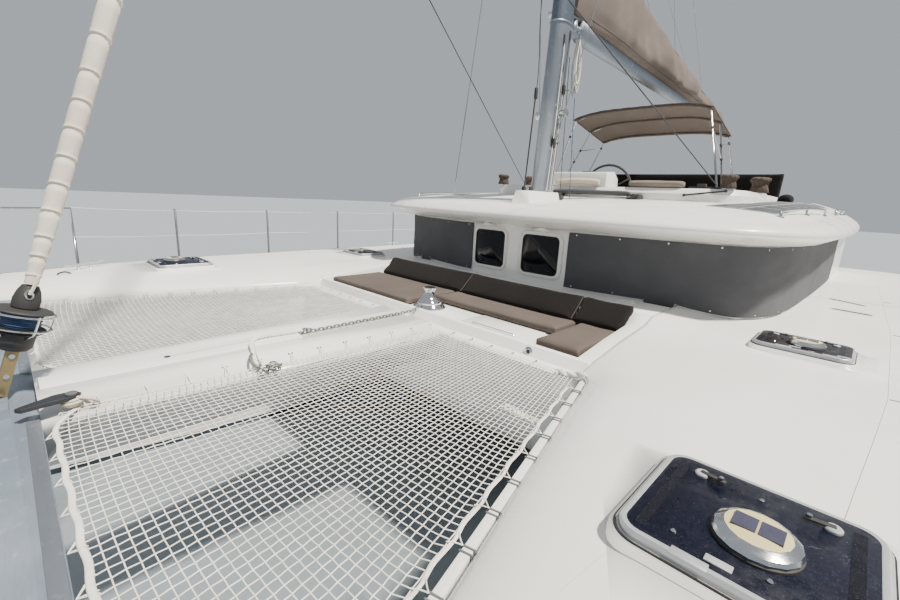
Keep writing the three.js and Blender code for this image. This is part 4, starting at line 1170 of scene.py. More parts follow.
@dataclass(frozen=True)
class Cushion:
    """A padded piece. It starts a little smaller than its solid and swells into the solid's room.

    Attributes:
        node: The solid that it stands for.
        finish: Its cloth.
        voxel: Size of its faces before they are halved, in millimetres.
        drawn: How much smaller it starts, in millimetres each way.
        reach: How far a point may swell, in millimetres.
        pressure: Air pressure inside it.
        fill: How firm it is, from 0 to 1. Not used.
    """

    node: str
    finish: Finish
    voxel: float = 14.0
    drawn: float = 9.0
    reach: float = 9.0
    pressure: float = 3.0
    fill: float = 0.7

    def build(self) -> Thing:
        """Makes the cushion."""
        shape = copied(self.node)
        low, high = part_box(self.node)
        middle, half = (low + high) / 2, (high - low) / 2
        keep = [1 - self.drawn * MM / size for size in half]
        for vertex in shape.verts:
            vertex.co = middle + Vector(a * b for a, b in zip(vertex.co - middle, keep))
        mesh = remeshed(shape, self.voxel)
        swollen(mesh, self.pressure, self.reach)
        shape = bmesh.new()
        shape.from_mesh(mesh)
        bpy.data.meshes.remove(mesh)
        relaxed(shape, 0.5)
        made = settle(f"{self.node}_cushion", shape, self.finish, replaces=[self.node], crease=180)
        finer = made.modifiers.new("finer", "SUBSURF")
        finer.levels = finer.render_levels = 1
        return made


BENCH_PLACES = ("port", "centre", "starboard")
CUSHIONS = [
    *[Cushion(f"seat_pad_{place}", SEAT_CLOTH, fill=0.8) for place in BENCH_PLACES],
    *[Cushion(f"backrest_{place}", BACK_CLOTH_WITH_SHADE, drawn=7, reach=8) for place in BENCH_PLACES],
    Cushion("flybridge_seat", TAUPE_CLOTH, fill=0.8),
    Cushion("flybridge_backrest", BACK_CLOTH_WITH_SHADE, drawn=7, reach=8),
]


def plate(rows: Sequence[Sequence[Vector]], thick: Callable[[Vector], Vector]) -> Shape:
    """Thin closed shell over a grid of points.

    Args:
        rows: The grid.
        thick: Step from a point on the outer face to the one behind it.

    Returns:
        The shell.
    """
    shape = bmesh.new()
    outer = [[shape.verts.new(spot) for spot in row] for row in rows]
    inner = [[shape.verts.new(spot + thick(spot)) for spot in row] for row in rows]
    for front, flip in ((outer, False), (inner, True)):
        for a, b in zip(front, front[1:]):
            for i in range(len(a) - 1):
                loop = [a[i], a[i + 1], b[i + 1], b[i]]
                shape.faces.new(loop[::-1] if flip else loop)
    front, back = (
        [*grid[0], *[row[-1] for row in grid[1:]], *grid[-1][-2::-1], *[row[0] for row in grid[-2:0:-1]]]
        for grid in (outer, inner)
    )
    for i in range(len(front)):
        k = (i + 1) % len(front)
        shape.faces.new([front[k], front[i], back[i], back[k]])
    bmesh.ops.recalc_face_normals(shape, faces=shape.faces)
    return shape


# Cabin

CABIN_PLAN = [
    (2.122, -0.35), (2.13, 0), (2.122, 0.35), (2.1, 0.7), (2.04, 1.08), (1.95, 1.45), (1.84, 1.78),
    (1.68, 2.02), (1.4, 2.16), (0.95, 2.24), (0, 2.29), (-1.2, 2.33), (-2.4, 2.35)
]


@dataclass(frozen=True)
class WindowCover(Sided):
    """Fabric cover that is studded over the saloon windows of one side."""

    start: float
    end: float = -2.12
    top: float = 2.548
    off: float = 0.012
    thick: float = 0.003
    step: float = 0.012
    stud_gap: float = 0.38

    def outline(self) -> list[Vector]:
        """Plan of the cabin's face under the cover, evenly spaced."""
        line = [
            spot for spot in smooth_path([(x, y, 0) for x, y in CABIN_PLAN], self.step)
            if spot.y >= self.start and spot.x >= self.end
        ]
        return [self.mirrored(spot) for spot in line]

    def build(self) -> None:
        """Makes the cover, its hem and its studs."""
        side = self.side
        deck = Surface(f"hull_{side}", "bridgedeck")
        line = self.outline()
        far = self.step * (len(line) - 1)
        outs, rows, count = [], [], 46
        for i, spot in enumerate(line):
            along = line[min(i + 1, len(line) - 1)] - line[max(i - 1, 0)]
            out = vec(along.y, -along.x, 0).normalized()
            outs.append(out if out.dot(vec(spot.x - 1.0, spot.y * 3, 0)) > 0 else -out)
        lows = [max(1.938, deck.top(*(spot + out * 0.03)[:2]).z + 0.024) for spot, out in zip(line, outs)]
        for k in range(count + 1):
            share, row = k / count, []
            for i, (spot, out) in enumerate(zip(line, outs)):
                s = self.step * i
                z = mix(self.top, lows[i], share)
                # Studs hold the hem, and slack cloth hangs between them
                stud = abs(sin(pi * s / self.stud_gap))
                edge = exp(-share / 0.16) + 0.7 * exp(-(1 - share) / 0.12)
                slack = 0.0022 * stud * edge
                place = vec(s * 1.6, z * 2.2, self.hand * 3.0)
                crease = noise.noise(place) * 0.0048 + abs(noise.noise(place * 2.7)) * -0.003
                # Slack drapes toward the foot where the cover turns aft
                turn = exp(-((s - far * 0.36) / 0.5) ** 2) * share
                crease += 0.0042 * turn * sin(26 * (share + 0.35 * s) + 5 * noise.noise(place))
                diagonal = 0.003 * sin((s + 0.7 * share) * 9 + 4 * noise.noise(place * 0.8))
                calm = min(1.0, 6 * share * (1 - share) + 0.12)
                push = self.off - 0.002 + slack + (crease + diagonal * 0.6) * calm
                row.append(spot + out * max(0.0045, min(push, 0.0155)) + above(z))
            rows.append(row)
        back = {tuple(row[i]): outs[i] for row in rows for i in range(len(row))}
        shape = plate(rows, lambda spot: -back[tuple(spot)] * self.thick)
        made = settle(
            f"window_cover_{side}_cloth", shape, COVER_CLOTH, replaces=[f"window_cover_{side}"], crease=60
        )
        hem = bmesh.new()
        for row in (rows[0], rows[-1]):
            cord(hem, [spot + out * 0.001 for spot, out in zip(row[::3], outs[::3])], 3.0)
        for i in (0, -1):
            cord(hem, [row[i] + outs[i] * 0.001 for row in rows], 3.0)
        edge = settle(f"window_cover_{side}_hem", hem, COVER_CLOTH, crease=80)
        studs = bmesh.new()
        for level, row in ((0.018, rows[0]), (-0.018, rows[-1])):
            for i in range(6, len(row) - 4, 32):
                spot = row[i] - above(level)
                lathe(studs, [(0, 0), (7.5, 0), (7.5, 2.2), (5, 3.6), (0, 4)], spot, outs[i], 12)
        pins = settle(f"window_cover_{side}_studs", studs, STEEL)


def rounded_frame(low: Point, high: Point, corner: float, steps: int = 6) -> list[Pair]:
    """Outline of a rectangle with round corners, in its own plane."""
    spots = []
    for (x, y), start in (
        ((high[0] - corner, high[1] - corner), 0), ((low[0] + corner, high[1] - corner), 90),
        ((low[0] + corner, low[1] + corner), 180), ((high[0] - corner, low[1] + corner), 270)
    ):
        for i in range(steps + 1):
            angle = radians(start + 90 * i / steps)
            spots.append((x + corner * cos(angle), y + corner * sin(angle)))
    return spots


def moulding(
    shape: Shape, outline: Sequence[Pair], rows: Sequence[Pair], place: Place, number: int = 0
) -> None:
    """Adds a closed moulding that runs round an outline.

    Args:
        shape: The bmesh it joins.
        outline: The outline in its own plane, in metres.
        rows: Section of the moulding: step outwards and height, in metres, as a closed loop.
        place: Turns a point of the plane and a height to the boat's frame.
        number: Material number of its faces.
    """
    count = len(outline)
    rings = []
    for i, spot in enumerate(outline):
        before, after = Vector(outline[i - 1]), Vector(outline[(i + 1) % count])
        along = (after - before).normalized()
        out = Vector((along.y, -along.x))
        rings.append([
            shape.verts.new(place(spot[0] + out.x * step, spot[1] + out.y * step, height))
            for step, height in rows
        ])
    faces = []
    for i, ring in enumerate(rings):
        after = rings[(i + 1) % count]
        for k in range(len(rows)):
            j = (k + 1) % len(rows)
            faces.append(shape.faces.new([ring[k], ring[j], after[j], after[k]]))
    for face in faces:
        face.material_index = number
    bmesh.ops.recalc_face_normals(shape, faces=faces)


def panel(
    shape: Shape, outline: Sequence[Pair], levels: Pair, place: Place, number: int = 0, ease: float = 0.0
) -> None:
    """Adds a flat closed panel between two heights over an outline, its outer edge eased."""
    rings = []
    middle = Vector((sum(x for x, _ in outline), sum(y for _, y in outline))) / len(outline)
    steps = [(0.0, levels[0]), (0.0, levels[1] - ease), (ease, levels[1])]
    for draw, height in steps if ease else steps[:2]:
        ring = []
        for x, y in outline:
            inwards = (middle - Vector((x, y))).normalized() * draw
            ring.append(shape.verts.new(place(x + inwards.x, y + inwards.y, height)))
        rings.append(ring)
    lofted(shape, rings, number)


@dataclass(frozen=True)
class Portlight:
    """Opening port in the cabin's front, its black pane in a moulded white frame."""

    side: str
    low: Pair
    high: Pair
    corner: float = 0.055
    face: float = 2.1315

    def build(self) -> None:
        """Makes the frame, the pane and its two dogs."""
        outline = rounded_frame(self.low, self.high, self.corner)

        def place(y: float, z: float, rise: float) -> Vector:
            return vec(self.face - 0.105 * max(0.0, abs(y) - 0.2) ** 2 + rise, y, z)

        frame_shape = bmesh.new()
        moulding(
            frame_shape, outline,
            [
                (-0.002, -0.006), (0.034, -0.006), (0.036, 0.004), (0.03, 0.011), (0.008, 0.013),
                (-0.002, 0.008)
            ], place
        )
        settle(f"portlight_{self.side}_frame", frame_shape, WHITE_PLASTIC, crease=50)
        pane = bmesh.new()
        panel(pane, outline, (-0.01, 0.002), place, ease=0.004)
        moulding(
            pane, outline, [(-0.012, 0.002), (-0.001, 0.002), (-0.001, 0.0075), (-0.006, 0.0075)], place, 1
        )
        for share in (0.25, 0.75):
            spot = place(mix(self.low[0], self.high[0], share), self.low[1] + 0.045, 0.003)
            block(pane, spot - vec(0.002, 0.022, 0.012), spot + vec(0.002, 0.022, 0.012), 0.0015)
        settle(
            f"portlight_{self.side}_pane", pane, [WINDOW_ACRYLIC, RUBBER],
            replaces=[f"portlight_{self.side}"], crease=50
        )


# Deck


@dataclass(frozen=True)
class Seam:
    """A fine groove or a laid line that follows the skin of a solid."""

    spots: tuple[Pair, ...]
    node: str = "hull_port"
    radius: float = 1.6
    sunk: float = 0.9

    def line(self, hand: int) -> list[Vector]:
        """Its route on the skin of the port solid, or of the starboard one."""
        skin = Surface(self.node if hand > 0 else self.node.replace("_port", "_starboard"))
        spots = [vec(x, y * hand, 0) for x, y in self.spots]
        line = []
        for a, b in zip(spots, spots[1:]):
            count = max(1, round((b - a).length / 0.05))
            line += [a.lerp(b, i / count) for i in range(count)]
        line.append(spots[-1])
        return [skin.top(spot.x, spot.y, (self.radius - self.sunk) * MM - 0.0012) for spot in line]


def seams(name: str, marks: Sequence[Seam], finish: Finish, hands: Sequence[int] = (1, -1)) -> None:
    """Makes one piece of several seams, on one side or both."""
    shape = bmesh.new()
    for mark in marks:
        for hand in hands:
            cord(shape, mark.line(hand), mark.radius, 4, smooth=False)
    settle(name, shape, finish, crease=80)


@dataclass(frozen=True)
class DeckHatch(Sided):
    """Lifting deck hatch: an acrylic pane in an alloy rim, with a solar vent, two handles and its hinges.

    Attributes:
        name: fore or mid.
        centre: Middle of the port hatch, seen from above.
        size: Length and width of the lid.
        edge: Width of the rim.
        glass: Finish of the pane.
        top: Height of the lid's upper face.
        seat: Height of the deck's rebate that it lies in.
        vent: Radius of the vent.
        vent_at: Place of the vent from the middle.
    """

    name: str
    centre: Pair
    size: Pair
    edge: float = 0.018
    glass: Finish = HATCH_ACRYLIC
    top: float = 1.9982
    seat: float = 1.972
    vent: float = 0.1
    vent_at: Pair = (0.046, 0.018)

    @property
    def body(self) -> str:
        """The body that its lid is."""
        return f"lid_{self.name}_{self.side[0]}"

    @property
    def tag(self) -> str:
        """End of its pieces' names."""
        return f"{self.name}_{self.side}"

    def at(self, along: float, across: float, high: float) -> Vector:
        """Point of the boat's frame for a point of the port hatch."""
        return self.mirrored((along, across, high))

    def build(self) -> None:
        """Makes the seat on the deck and everything on the lid."""
        x, y = self.centre
        long, wide = self.size[0] / 2, self.size[1] / 2
        outline = rounded_frame((x - long, y - wide), (x + long, y + wide), 0.066, 8)
        seat = bmesh.new()

        # On the hinge side the flange stays below the lid's swing
        def place(along: float, across: float, high: float) -> Vector:
            return self.at(along, across, high - 0.0115 * (along > x + long - 0.045))

        moulding(
            seat, outline,
            [(0.0015, 1.9725), (0.009, 1.9725), (0.009, 1.979), (0.006, 1.982), (0.0015, 1.982)], place
        )
        settle(f"hatch_frame_{self.tag}", seat, FRAME_ALLOY, crease=50)
        # A black rubber ring round the frame's foot, which paints the dark shadow line round the hatch
        painted_shadow_ring = bmesh.new()
        moulding(
            painted_shadow_ring, outline, [(0.008, 1.9712), (0.014, 1.9712), (0.014, 1.9755), (0.008, 1.9755)], self.at
        )
        settle(f"hatch_gasket_{self.tag}", painted_shadow_ring, RUBBER)
        rim = bmesh.new()
        low = self.seat + 0.0006
        moulding(
            rim, outline,
            [
                (-self.edge, low), (0, low), (0, self.top - 0.007), (-0.004, self.top - 0.001),
                (-self.edge + 0.004, self.top), (-self.edge, self.top - 0.001)
            ], self.at
        )
        settle(f"hatch_rim_{self.tag}", rim, FRAME_ALLOY, self.body, crease=50)
        lid, draw = bmesh.new(), self.edge - 0.001
        pane = rounded_frame((x - long + draw, y - wide + draw), (x + long - draw, y + wide - draw), 0.044, 8)
        panel(lid, pane, (low, self.top - 0.001), self.at, ease=0.002)
        for hand in (-1, 1):
            strip = sorted((y + hand * (wide - 0.072), y + hand * (wide - 0.044)))
            panel(
                lid, rounded_frame((x - long + 0.05, strip[0]), (x + long - 0.045, strip[1]), 0.005, 2),
                (self.top - 0.0015, self.top - 0.0005), self.at, 1
            )
        settle(
            f"hatch_lid_{self.tag}_pane", lid, [self.glass, HATCH_BORDER], self.body,
            [f"hatch_lid_{self.tag}"], 50
        )
        self.build_vent(self.at(x + self.vent_at[0], y + self.vent_at[1], self.top - 0.001))
        self.build_fittings(long, wide)

    def build_vent(self, foot: Vector) -> None:
        """Makes the round solar vent: a faceted steel ring round a cream dome with two cells, over a black
        foot ring that paints the shade under it.
        """
        r = self.vent * 1000
        shape = bmesh.new()
        # The black foot ring, material number 2, paints the dark shade under the vent's steel ring
        lathe(shape, [(0, 0), (r + 2, 0), (r + 2, 6), (r - 3, 9), (0, 9)], foot, sides=48, number=2)
        lathe(
            shape, [(r - 6, 8), (r, 8), (r + 1, 15), (r - 4, 25), (r - 22, 36), (r - 25, 37), (r - 27, 33)],
            foot, sides=16
        )
        lathe(
            shape, [(r - 24, 30), (r - 26, 36), (r - 44, 39.5), (r - 66, 41.5), (0, 42.5)], foot, sides=48,
            number=1
        )
        for hand in (-1, 1):
            middle = foot + vec(0, 0.029 * hand, 0.0415)
            block(shape, middle - vec(0.032, 0.026, 0.004), middle + vec(0.032, 0.026, 0.0022), number=3)
        for i in range(9):
            x = foot.x - 0.028 + 0.007 * i
            block(shape, (x, foot.y - 0.054, foot.z + 0.0434), (x + 0.0009, foot.y + 0.054, foot.z + 0.0441))
        settle(
            f"vent_{self.tag}", shape, [STEEL, CREAM_DOME, BLACK_PLASTIC, SOLAR_CELL], self.body, crease=25
        )

    def build_fittings(self, long: float, wide: float) -> None:
        """Makes the two handles with their levers, the bolts and the hinges."""
        x, y = self.centre
        shape = bmesh.new()
        aft = x - long + 0.086
        for hand in (-1, 1):
            spot = self.at(aft, y + hand * 0.158, self.top - 0.001)
            lathe(shape, [(0, 0), (21, 0), (21, 6), (17, 10), (0, 11)], spot, sides=28)
            inwards = self.at(aft + 0.008, y + hand * 0.1, self.top + 0.006) - spot
            lever = bmesh.new()
            block(lever, (-0.006, -0.009, 0.0), (0.066, 0.009, 0.007), 0.003)
            lever.transform(
                Matrix.Translation(spot + above(0.006)) @ Matrix.Rotation(atan2(inwards.y, inwards.x), 4, "Z")
            )
            joined(shape, lever, 1)
            lathe(shape, [(0, 6), (7, 6), (7, 15), (0, 16)], spot + inwards * 0.9, sides=14, number=2)
        for ox, oy in ((0.094, 0.0), (2 * long - 0.08, 0.067), (2 * long - 0.08, -0.14)):
            lathe(
                shape, [(0, 0), (7, 0), (7, 4), (4, 7), (0, 7)],
                self.at(x - long + ox, y + oy, self.top - 0.001), sides=14, number=2
            )
        fore = x + long - 0.013
        for oy in (-0.085, 0.15):
            low = self.at(fore, y + oy, self.top - 0.004)
            block(shape, low - vec(0.015, 0.042, 0.002), low + vec(0.015, 0.042, 0.0055), 0.002, number=3)
            low = self.at(fore - 0.038, y + oy + 0.055, self.top - 0.002)
            block(shape, low - vec(0.013, 0.03, 0.002), low + vec(0.013, 0.03, 0.004), 0.002)
        settle(
            f"handles_{self.tag}", shape, [LIGHT_GREY, BLACK_PLASTIC, STEEL, FRAME_ALLOY], self.body,
            crease=40
        )


@dataclass(frozen=True)
class DeckWork:
    """Seams, slots and cleats of both side decks.

    Attributes:
        long_seam: Route of the seam along the port deck.
        cross_seams: Routes of those across it.
        dark_lines: Routes of short dark grey lines laid across the deck.
        slots: Place of each flush vent, and how far it leans forward on its length.
        cleats: Place of each cleat, half its length and its turn in degrees.
    """

    long_seam: tuple[Pair, ...] = (
        (-4.95, 2.8), (-4.0, 2.86), (-2.36, 2.86), (-1.36, 2.88), (1.12, 2.935), (2.85, 2.899), (3.2, 2.873),
        (3.59, 2.842), (3.97, 2.81), (4.225, 2.79)
    )
    cross_seams: tuple[tuple[Pair, ...], ...] = (
        ((2.06, 2.76), (2.05, 2.96), (2.0, 3.45)), ((-0.7, 2.42), (-0.7, 3.03), (-0.74, 3.5)),
        ((-3.1, 2.5), (-3.14, 3.5)), ((4.79, 2.36), (5.2, 2.3), (5.7, 2.35))
    )
    dark_lines: tuple[tuple[Pair, ...], ...] = (
        ((1.122, 2.945), (1.124, 3.02)), ((2.86, 2.905), (2.845, 2.975)), ((-0.7, 2.9), (-0.7, 2.96))
    )
    slots: tuple[tuple[float, float, float], ...] = ((-0.29, 2.626, 0.57), (0.311, 2.68, 0.17))
    cleats: tuple[tuple[float, float, float, float], ...] = (
        (5.295, 2.86, 0.2, -34), (0.9, 3.55, 0.13, 0), (-4.75, 3.45, 0.13, 0)
    )

    def build(self) -> None:
        """Makes everything on the side decks."""
        marks = [Seam(self.long_seam), *[Seam(spots, radius=1.2) for spots in self.cross_seams]]
        seams("deck_seams", marks, SEAM_GREY)
        # Short dark grey lines laid across the deck
        seams("deck_drains", [Seam(spots, radius=3.4, sunk=1.2) for spots in self.dark_lines], GREY_PLASTIC)
        for hand, side in SIDES:
            self.build_slots(hand, side)
            self.build_cleats(hand, side)

    def build_slots(self, hand: int, side: str) -> None:
        """Makes two long flush vents in pale frames beside the cabin."""
        deck = Surface(f"hull_{side}")
        shape = bmesh.new()
        for x, y, lean in self.slots:
            outline = rounded_frame((-0.04, -0.15), (0.04, 0.15), 0.036, 5)
            middle = deck.top(x, y * hand)

            def place(a: float, b: float, rise: float) -> Vector:
                return middle + vec(a + lean * b, b * hand, rise)

            moulding(
                shape, outline,
                [(-0.004, -0.004), (0.014, -0.004), (0.013, 0.002), (0.002, 0.004), (-0.004, 0.002)], place
            )
            panel(shape, outline, (-0.004, 0.0012), place, 2)
            for step in (-0.018, 0, 0.018):
                inner = rounded_frame((step - 0.003, -0.135), (step + 0.003, 0.135), 0.0025, 2)
                panel(shape, inner, (0.0, 0.0026), place, 1)
        settle(
            f"deck_vents_{side}", shape, [WHITE_PLASTIC, GREY_PLASTIC, BLACK_PLASTIC], crease=40,
        )

    def build_cleats(self, hand: int, side: str) -> None:
        """Makes the bow, middle and stern cleats."""
        deck = Surface(f"hull_{side}")
        shape = bmesh.new()
        for x, y, reach, turn in self.cleats:
            foot = deck.top(x, y * hand, 0.001)
            way = outward(radians(turn) * hand)
            arms = smooth_path([
                foot + way * reach * share + above(dz)
                for share, dz in ((-1, 0.052), (-0.46, 0.046), (0.46, 0.046), (1, 0.052))
            ], 0.02)
            cord(shape, arms, 10, 8)
            for step in (-0.3, 0.3):
                lathe(
                    shape, [(0, 0), (20, 0), (18, 4), (11, 12), (10, 46), (0, 47)], foot + way * reach * step,
                    sides=16
                )
        eye = deck.top(5.47, 2.62 * hand, 0.001)
        arch = [eye + vec(dx, 0, dz) for dx, dz in ((-0.05, 0), (-0.03, 0.02), (0.03, 0.02), (0.05, 0))]
        cord(shape, arch, 7, 8, 1)
        settle(f"cleats_{side}", shape, [FRAME_ALLOY, BLACK_PLASTIC], crease=45)


@dataclass(frozen=True)
class Guardrail(Sided):
    """Pulpit, stanchions and stern rail of one side, with their wires and bases.

    Attributes:
        stations: X of each stanchion.
        seat: X and Y of two corners of the plank seat in the pulpit.
    """

    stations: tuple[float, ...] = (4.3, 3.1, 1.9, 0.7, -0.6, -1.9, -3.2, -4.5)
    seat: tuple[Pair, ...] = ((5.98, 2.6), (6.34, 3.02))

    def build(self) -> None:
        """Makes the rail's skin and what goes with it."""
        node = f"guardrail_{self.side}"
        deck = Surface(f"hull_{self.side}")
        shape = copied(node)
        for face in shape.faces:
            spot = face.calc_center_median()
            low = all(v.co.z < deck.top(v.co.x, v.co.y).z + 0.04 for v in face.verts)
            flat = max(abs(e.verts[0].co.x - e.verts[1].co.x) for e in face.edges) > 0.2
            face.material_index = 1 if low and flat and spot.x < 4.9 else 2 if low and flat else 0
        settle(f"{node}_skin", shape, [STEEL, TEAK, WHITE_PLASTIC], replaces=[node], crease=50)
        corners, feet = [v.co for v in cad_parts[node].data.vertices], []
        for x in self.stations:
            beside = [c for c in corners if abs(c.x - x) < 0.02 and c.z > 2.3]
            if beside:
                near = min(beside, key=lambda c: abs(c.x - x))
                feet.append(vec(x, near.y, near.z))
        bases = bmesh.new()
        for foot in feet[:-1]:
            low = deck.top(foot.x, foot.y)
            lathe(
                bases, [(0, -4), (34, -4), (34, 3), (20, 8), (16, 48), (14, 50), (0, 50)],
                vec(foot.x, foot.y, low.z), sides=20
            )
            lathe(
                bases, [(0, 0), (16, 0), (16, 6), (9, 12), (0, 13)], vec(foot.x, foot.y, foot.z - 0.004),
                sides=14
            )
        settle(f"stanchion_bases_{self.side}", bases, DULL_STEEL, crease=40)
        start = min((c for c in corners if abs(c.x - 5.3) < 0.05 and c.z > 2.4), key=lambda c: -c.z)
        upper = [Vector(start), *[vec(f.x, f.y, f.z - 0.012) for f in feet]]
        lower = [spot - above(0.305) for spot in upper]
        wires = bmesh.new()
        for line in (upper, lower):
            sagged = []
            for a, b in zip(line, line[1:]):
                sagged += [a.lerp(b, i / 6) - above(0.01 * sin(pi * i / 6)) for i in range(6)]
            sagged.append(line[-1])
            cord(wires, sagged, 3.4, smooth=False)
        settle(f"lifelines_{self.side}", wires, WIRE_COAT, crease=80)
        self.build_seat()

    def build_seat(self) -> None:
        """Makes the plank seat inside the pulpit."""
        shape = bmesh.new()
        outline = rounded_frame(*self.seat, 0.05, 4)

        def place(x: float, y: float, z: float) -> Vector:
            return vec(x, y * self.hand, z)

        panel(shape, outline, (2.178, 2.206), place, ease=0.004)
        for x, y, far in ((6.02, 2.98, 3.1), (6.3, 2.98, 3.02)):
            cord(shape, [place(x, y, 2.172), place(x, far, 2.172)], 9, 8, 1)
        cord(shape, [place(6.3, 2.64, 2.174), place(6.36, 2.62, 1.93)], 11, 8, 1)
        cord(shape, [place(6.04, 2.64, 2.174), place(6.04, 2.62, 1.95)], 11, 8, 1)
        settle(f"pulpit_seat_{self.side}", shape, [PLANK, STEEL], crease=45)


# Rig

TACK = vec(5.75, 0, 2.33)
STAY_TOP = vec(1.2153, 0, 16.0)
STAY_WAY = (STAY_TOP - TACK).normalized()
MAST_FOOT = (1.65, 2.92)
MAST_LEAN = tan(radians(2.8))


def on_stay(z: float) -> Vector:
    """Point of the forestay at a height."""
    return TACK.lerp(STAY_TOP, (z - TACK.z) / (STAY_TOP.z - TACK.z))


def mast_x(z: float) -> float:
    """Middle of the mast at a height."""
    return MAST_FOOT[0] - (z - MAST_FOOT[1]) * MAST_LEAN


@dataclass(frozen=True)
class FurledSail:
    """Headsail rolled round its foil. Rolled hems band it, and its cloth puckers between them.

    Attributes:
        radii: Height and radius of the roll, in metres.
        hems: Heights of the lowest hems in metres. Those above are evenly spaced.
        spacing: Distance between the upper hems in metres.
        section: Distance above a hem's foot and how far the skin stands out there, both in millimetres.
        sides: Faces round the roll.
    """

    radii: tuple[Pair, ...] = (
        (2.33, 0.025), (2.45, 0.03), (2.64, 0.036), (3.27, 0.038), (3.6, 0.042), (5.0, 0.051), (9.0, 0.054),
        (13.5, 0.039), (15.0, 0.018), (15.8, 0.008), (15.99, 0.008)
    )
    hems: tuple[float, ...] = (2.363, 2.45, 2.536, 2.65, 2.77, 2.89, 3.015, 3.14, 3.27, 3.43, 3.6)
    spacing: float = 0.175
    section: tuple[Pair, ...] = (
        (0, -1.0), (1.2, 1.8), (3.6, 3.2), (6.4, 2.8), (8.6, 1.2), (11, 0.2), (22, 0.0)
    )
    tuck: tuple[Pair, ...] = ((-20, -0.8), (-9, -2.8), (-3.5, -4.8), (-1, -4.6))
    sides: int = 48

    def radius(self, z: float) -> float:
        """Radius of the roll at a height."""
        for (low, a), (high, b) in zip(self.radii, self.radii[1:]):
            if z <= high:
                return mix(a, b, (z - low) / (high - low))
        return self.radii[-1][1]

    def levels(self) -> list[Pair]:
        """Heights of all rings, and how far the skin stands out at each."""
        feet = [*self.hems]
        while feet[-1] < 15.7:
            feet.append(feet[-1] + self.spacing)
        made = [(2.332, 0.0), (2.34, 0.0)]
        for foot, after in zip(feet, [*feet[1:], 15.985]):
            made += [(foot + far * MM, push * MM) for far, push in self.section]
            room = after - foot - 0.045
            made += [(foot + 0.024 + room * i / 4, 0.0008 * sin(pi * i / 4)) for i in range(5)]
            if after < 15.9:
                made += [(after + far * MM, push * MM) for far, push in self.tuck]
        return sorted(made)

    def build(self) -> None:
        """Makes the roll."""
        side = vec(0, 1, 0)
        up = STAY_WAY.cross(side)
        shape = bmesh.new()
        rings = []
        for z, push in self.levels():
            base, ring = self.radius(z), []
            near = min(1.0, (z - 2.332) / 0.03, (15.985 - z) / 0.1)
            for angle in turns(self.sides):
                # The rolled hems wind round the stay, lower at starboard
                tilt = -0.32 * base * cos(angle) * near
                place = vec(cos(angle) * 1.3, sin(angle) * 1.3, z * 7 + angle * 0.8)
                rumple = max(0.0, noise.noise(place * 1.7) + 0.15)
                fold = sin(z * 118 + 6 * angle + 3 * noise.noise(place)) * rumple
                pucker = noise.noise(place) * 0.0016 + noise.noise(place * 3.1) * 0.0007 + fold * 0.0016
                size = base + (push + pucker) * min(1.0, base / 0.03)
                ring.append(shape.verts.new(
                    on_stay(z + tilt) - side * size * cos(angle) + up * size * sin(angle)
                ))
            rings.append(ring)
        lofted(shape, rings)
        made = settle("furled_genoa_roll", shape, SAIL_CLOTH, "furler", ["furled_genoa"], 60)


@dataclass(frozen=True)
class Furler:
    """Drum that rolls the headsail, in a fixed cage over its link plates."""

    foot: Vector = field(default_factory=lambda: on_stay(2.1305))

    def along(self, far: float) -> Vector:
        """Point of the drum's axis, by its distance above the lower flange in millimetres."""
        return self.foot + STAY_WAY * far * MM

    def build(self) -> None:
        """Makes the turning drum, then the cage and the links that stand still."""
        drum = bmesh.new()
        lathe(
            drum,
            [
                (0, 0), (93, 0), (96, 3), (93, 8), (46, 10), (46, 90), (101, 84), (106, 88), (101, 94),
                (44, 98), (48, 104), (50, 140), (44, 168), (40, 182), (30, 204), (0, 206)
            ], self.foot, STAY_WAY, 48
        )
        wraps = [(50, 10)]
        for row in range(7):
            wraps += [(62, 11.5 + row * 10), (68 + row % 2 * 5, 16 + row * 10)]
        lathe(drum, [*wraps, (50, 82)], self.foot, STAY_WAY, 40, 1)
        ring = hoop(self.along(168) + vec(0, 0.048, 0), (0.012, 0, 0), (0, 0, 0.02), 14)
        cord(drum, ring, 4.5, 8, 2)
        strap = [
            self.along(far) + vec(x, y, 0)
            for far, x, y in ((172, 0, 0.052), (200, -0.01, 0.056), (260, -0.012, 0.06))
        ]
        cord(drum, strap, 7, 6, 3)
        settle(
            "furler_drum_works", drum, [BLACK_PLASTIC, ROPE_BLUE, STEEL, SAIL_CLOTH], "furler",
            ["furler_drum"], 30
        )
        cage = bmesh.new()
        side = vec(0, 1, 0)
        up = STAY_WAY.cross(side)
        for far, radius in ((12, 0.112), (76, 0.114)):
            cord(cage, hoop(self.along(far), side * radius, up * radius, 36), 4.5, 8)
        for angle in turns(5, 0.14 * pi):
            out = side * cos(angle) + up * sin(angle)
            cord(
                cage,
                [
                    self.along(-34) + out * 0.062, self.along(-10) + out * 0.1, self.along(12) + out * 0.112,
                    self.along(84) + out * 0.115
                ], 4.5
            )
        lathe(
            cage, [(0, -96), (52, -94), (64, -78), (68, -14), (60, -6), (0, -5)], self.foot, STAY_WAY, 32, 1
        )
        for hand in (-1, 1):
            spots = [self.along(far) + side * 0.027 * hand for far in (-90, -330)]
            upright = STAY_WAY.to_track_quat("Z", "Y").to_matrix().to_4x4()
            bar = bmesh.new()
            block(bar, (-0.022, -0.0035, -0.135), (0.022, 0.0035, 0.135), 0.002)
            bar.transform(
                Matrix.Translation((spots[0] + spots[1]) / 2) @ upright @ Matrix.Rotation(radians(90), 4, "Z")
            )
            joined(cage, bar, 2)
        for far in (-120, -215, -318):
            spot = self.along(far)
            lathe(cage, [(0, -40), (11, -40), (11, 40), (0, 40)], spot, side, 14, 0)
        settle("furler_cage", cage, [STEEL, BLACK_PLASTIC, LINK_GOLD], crease=35)


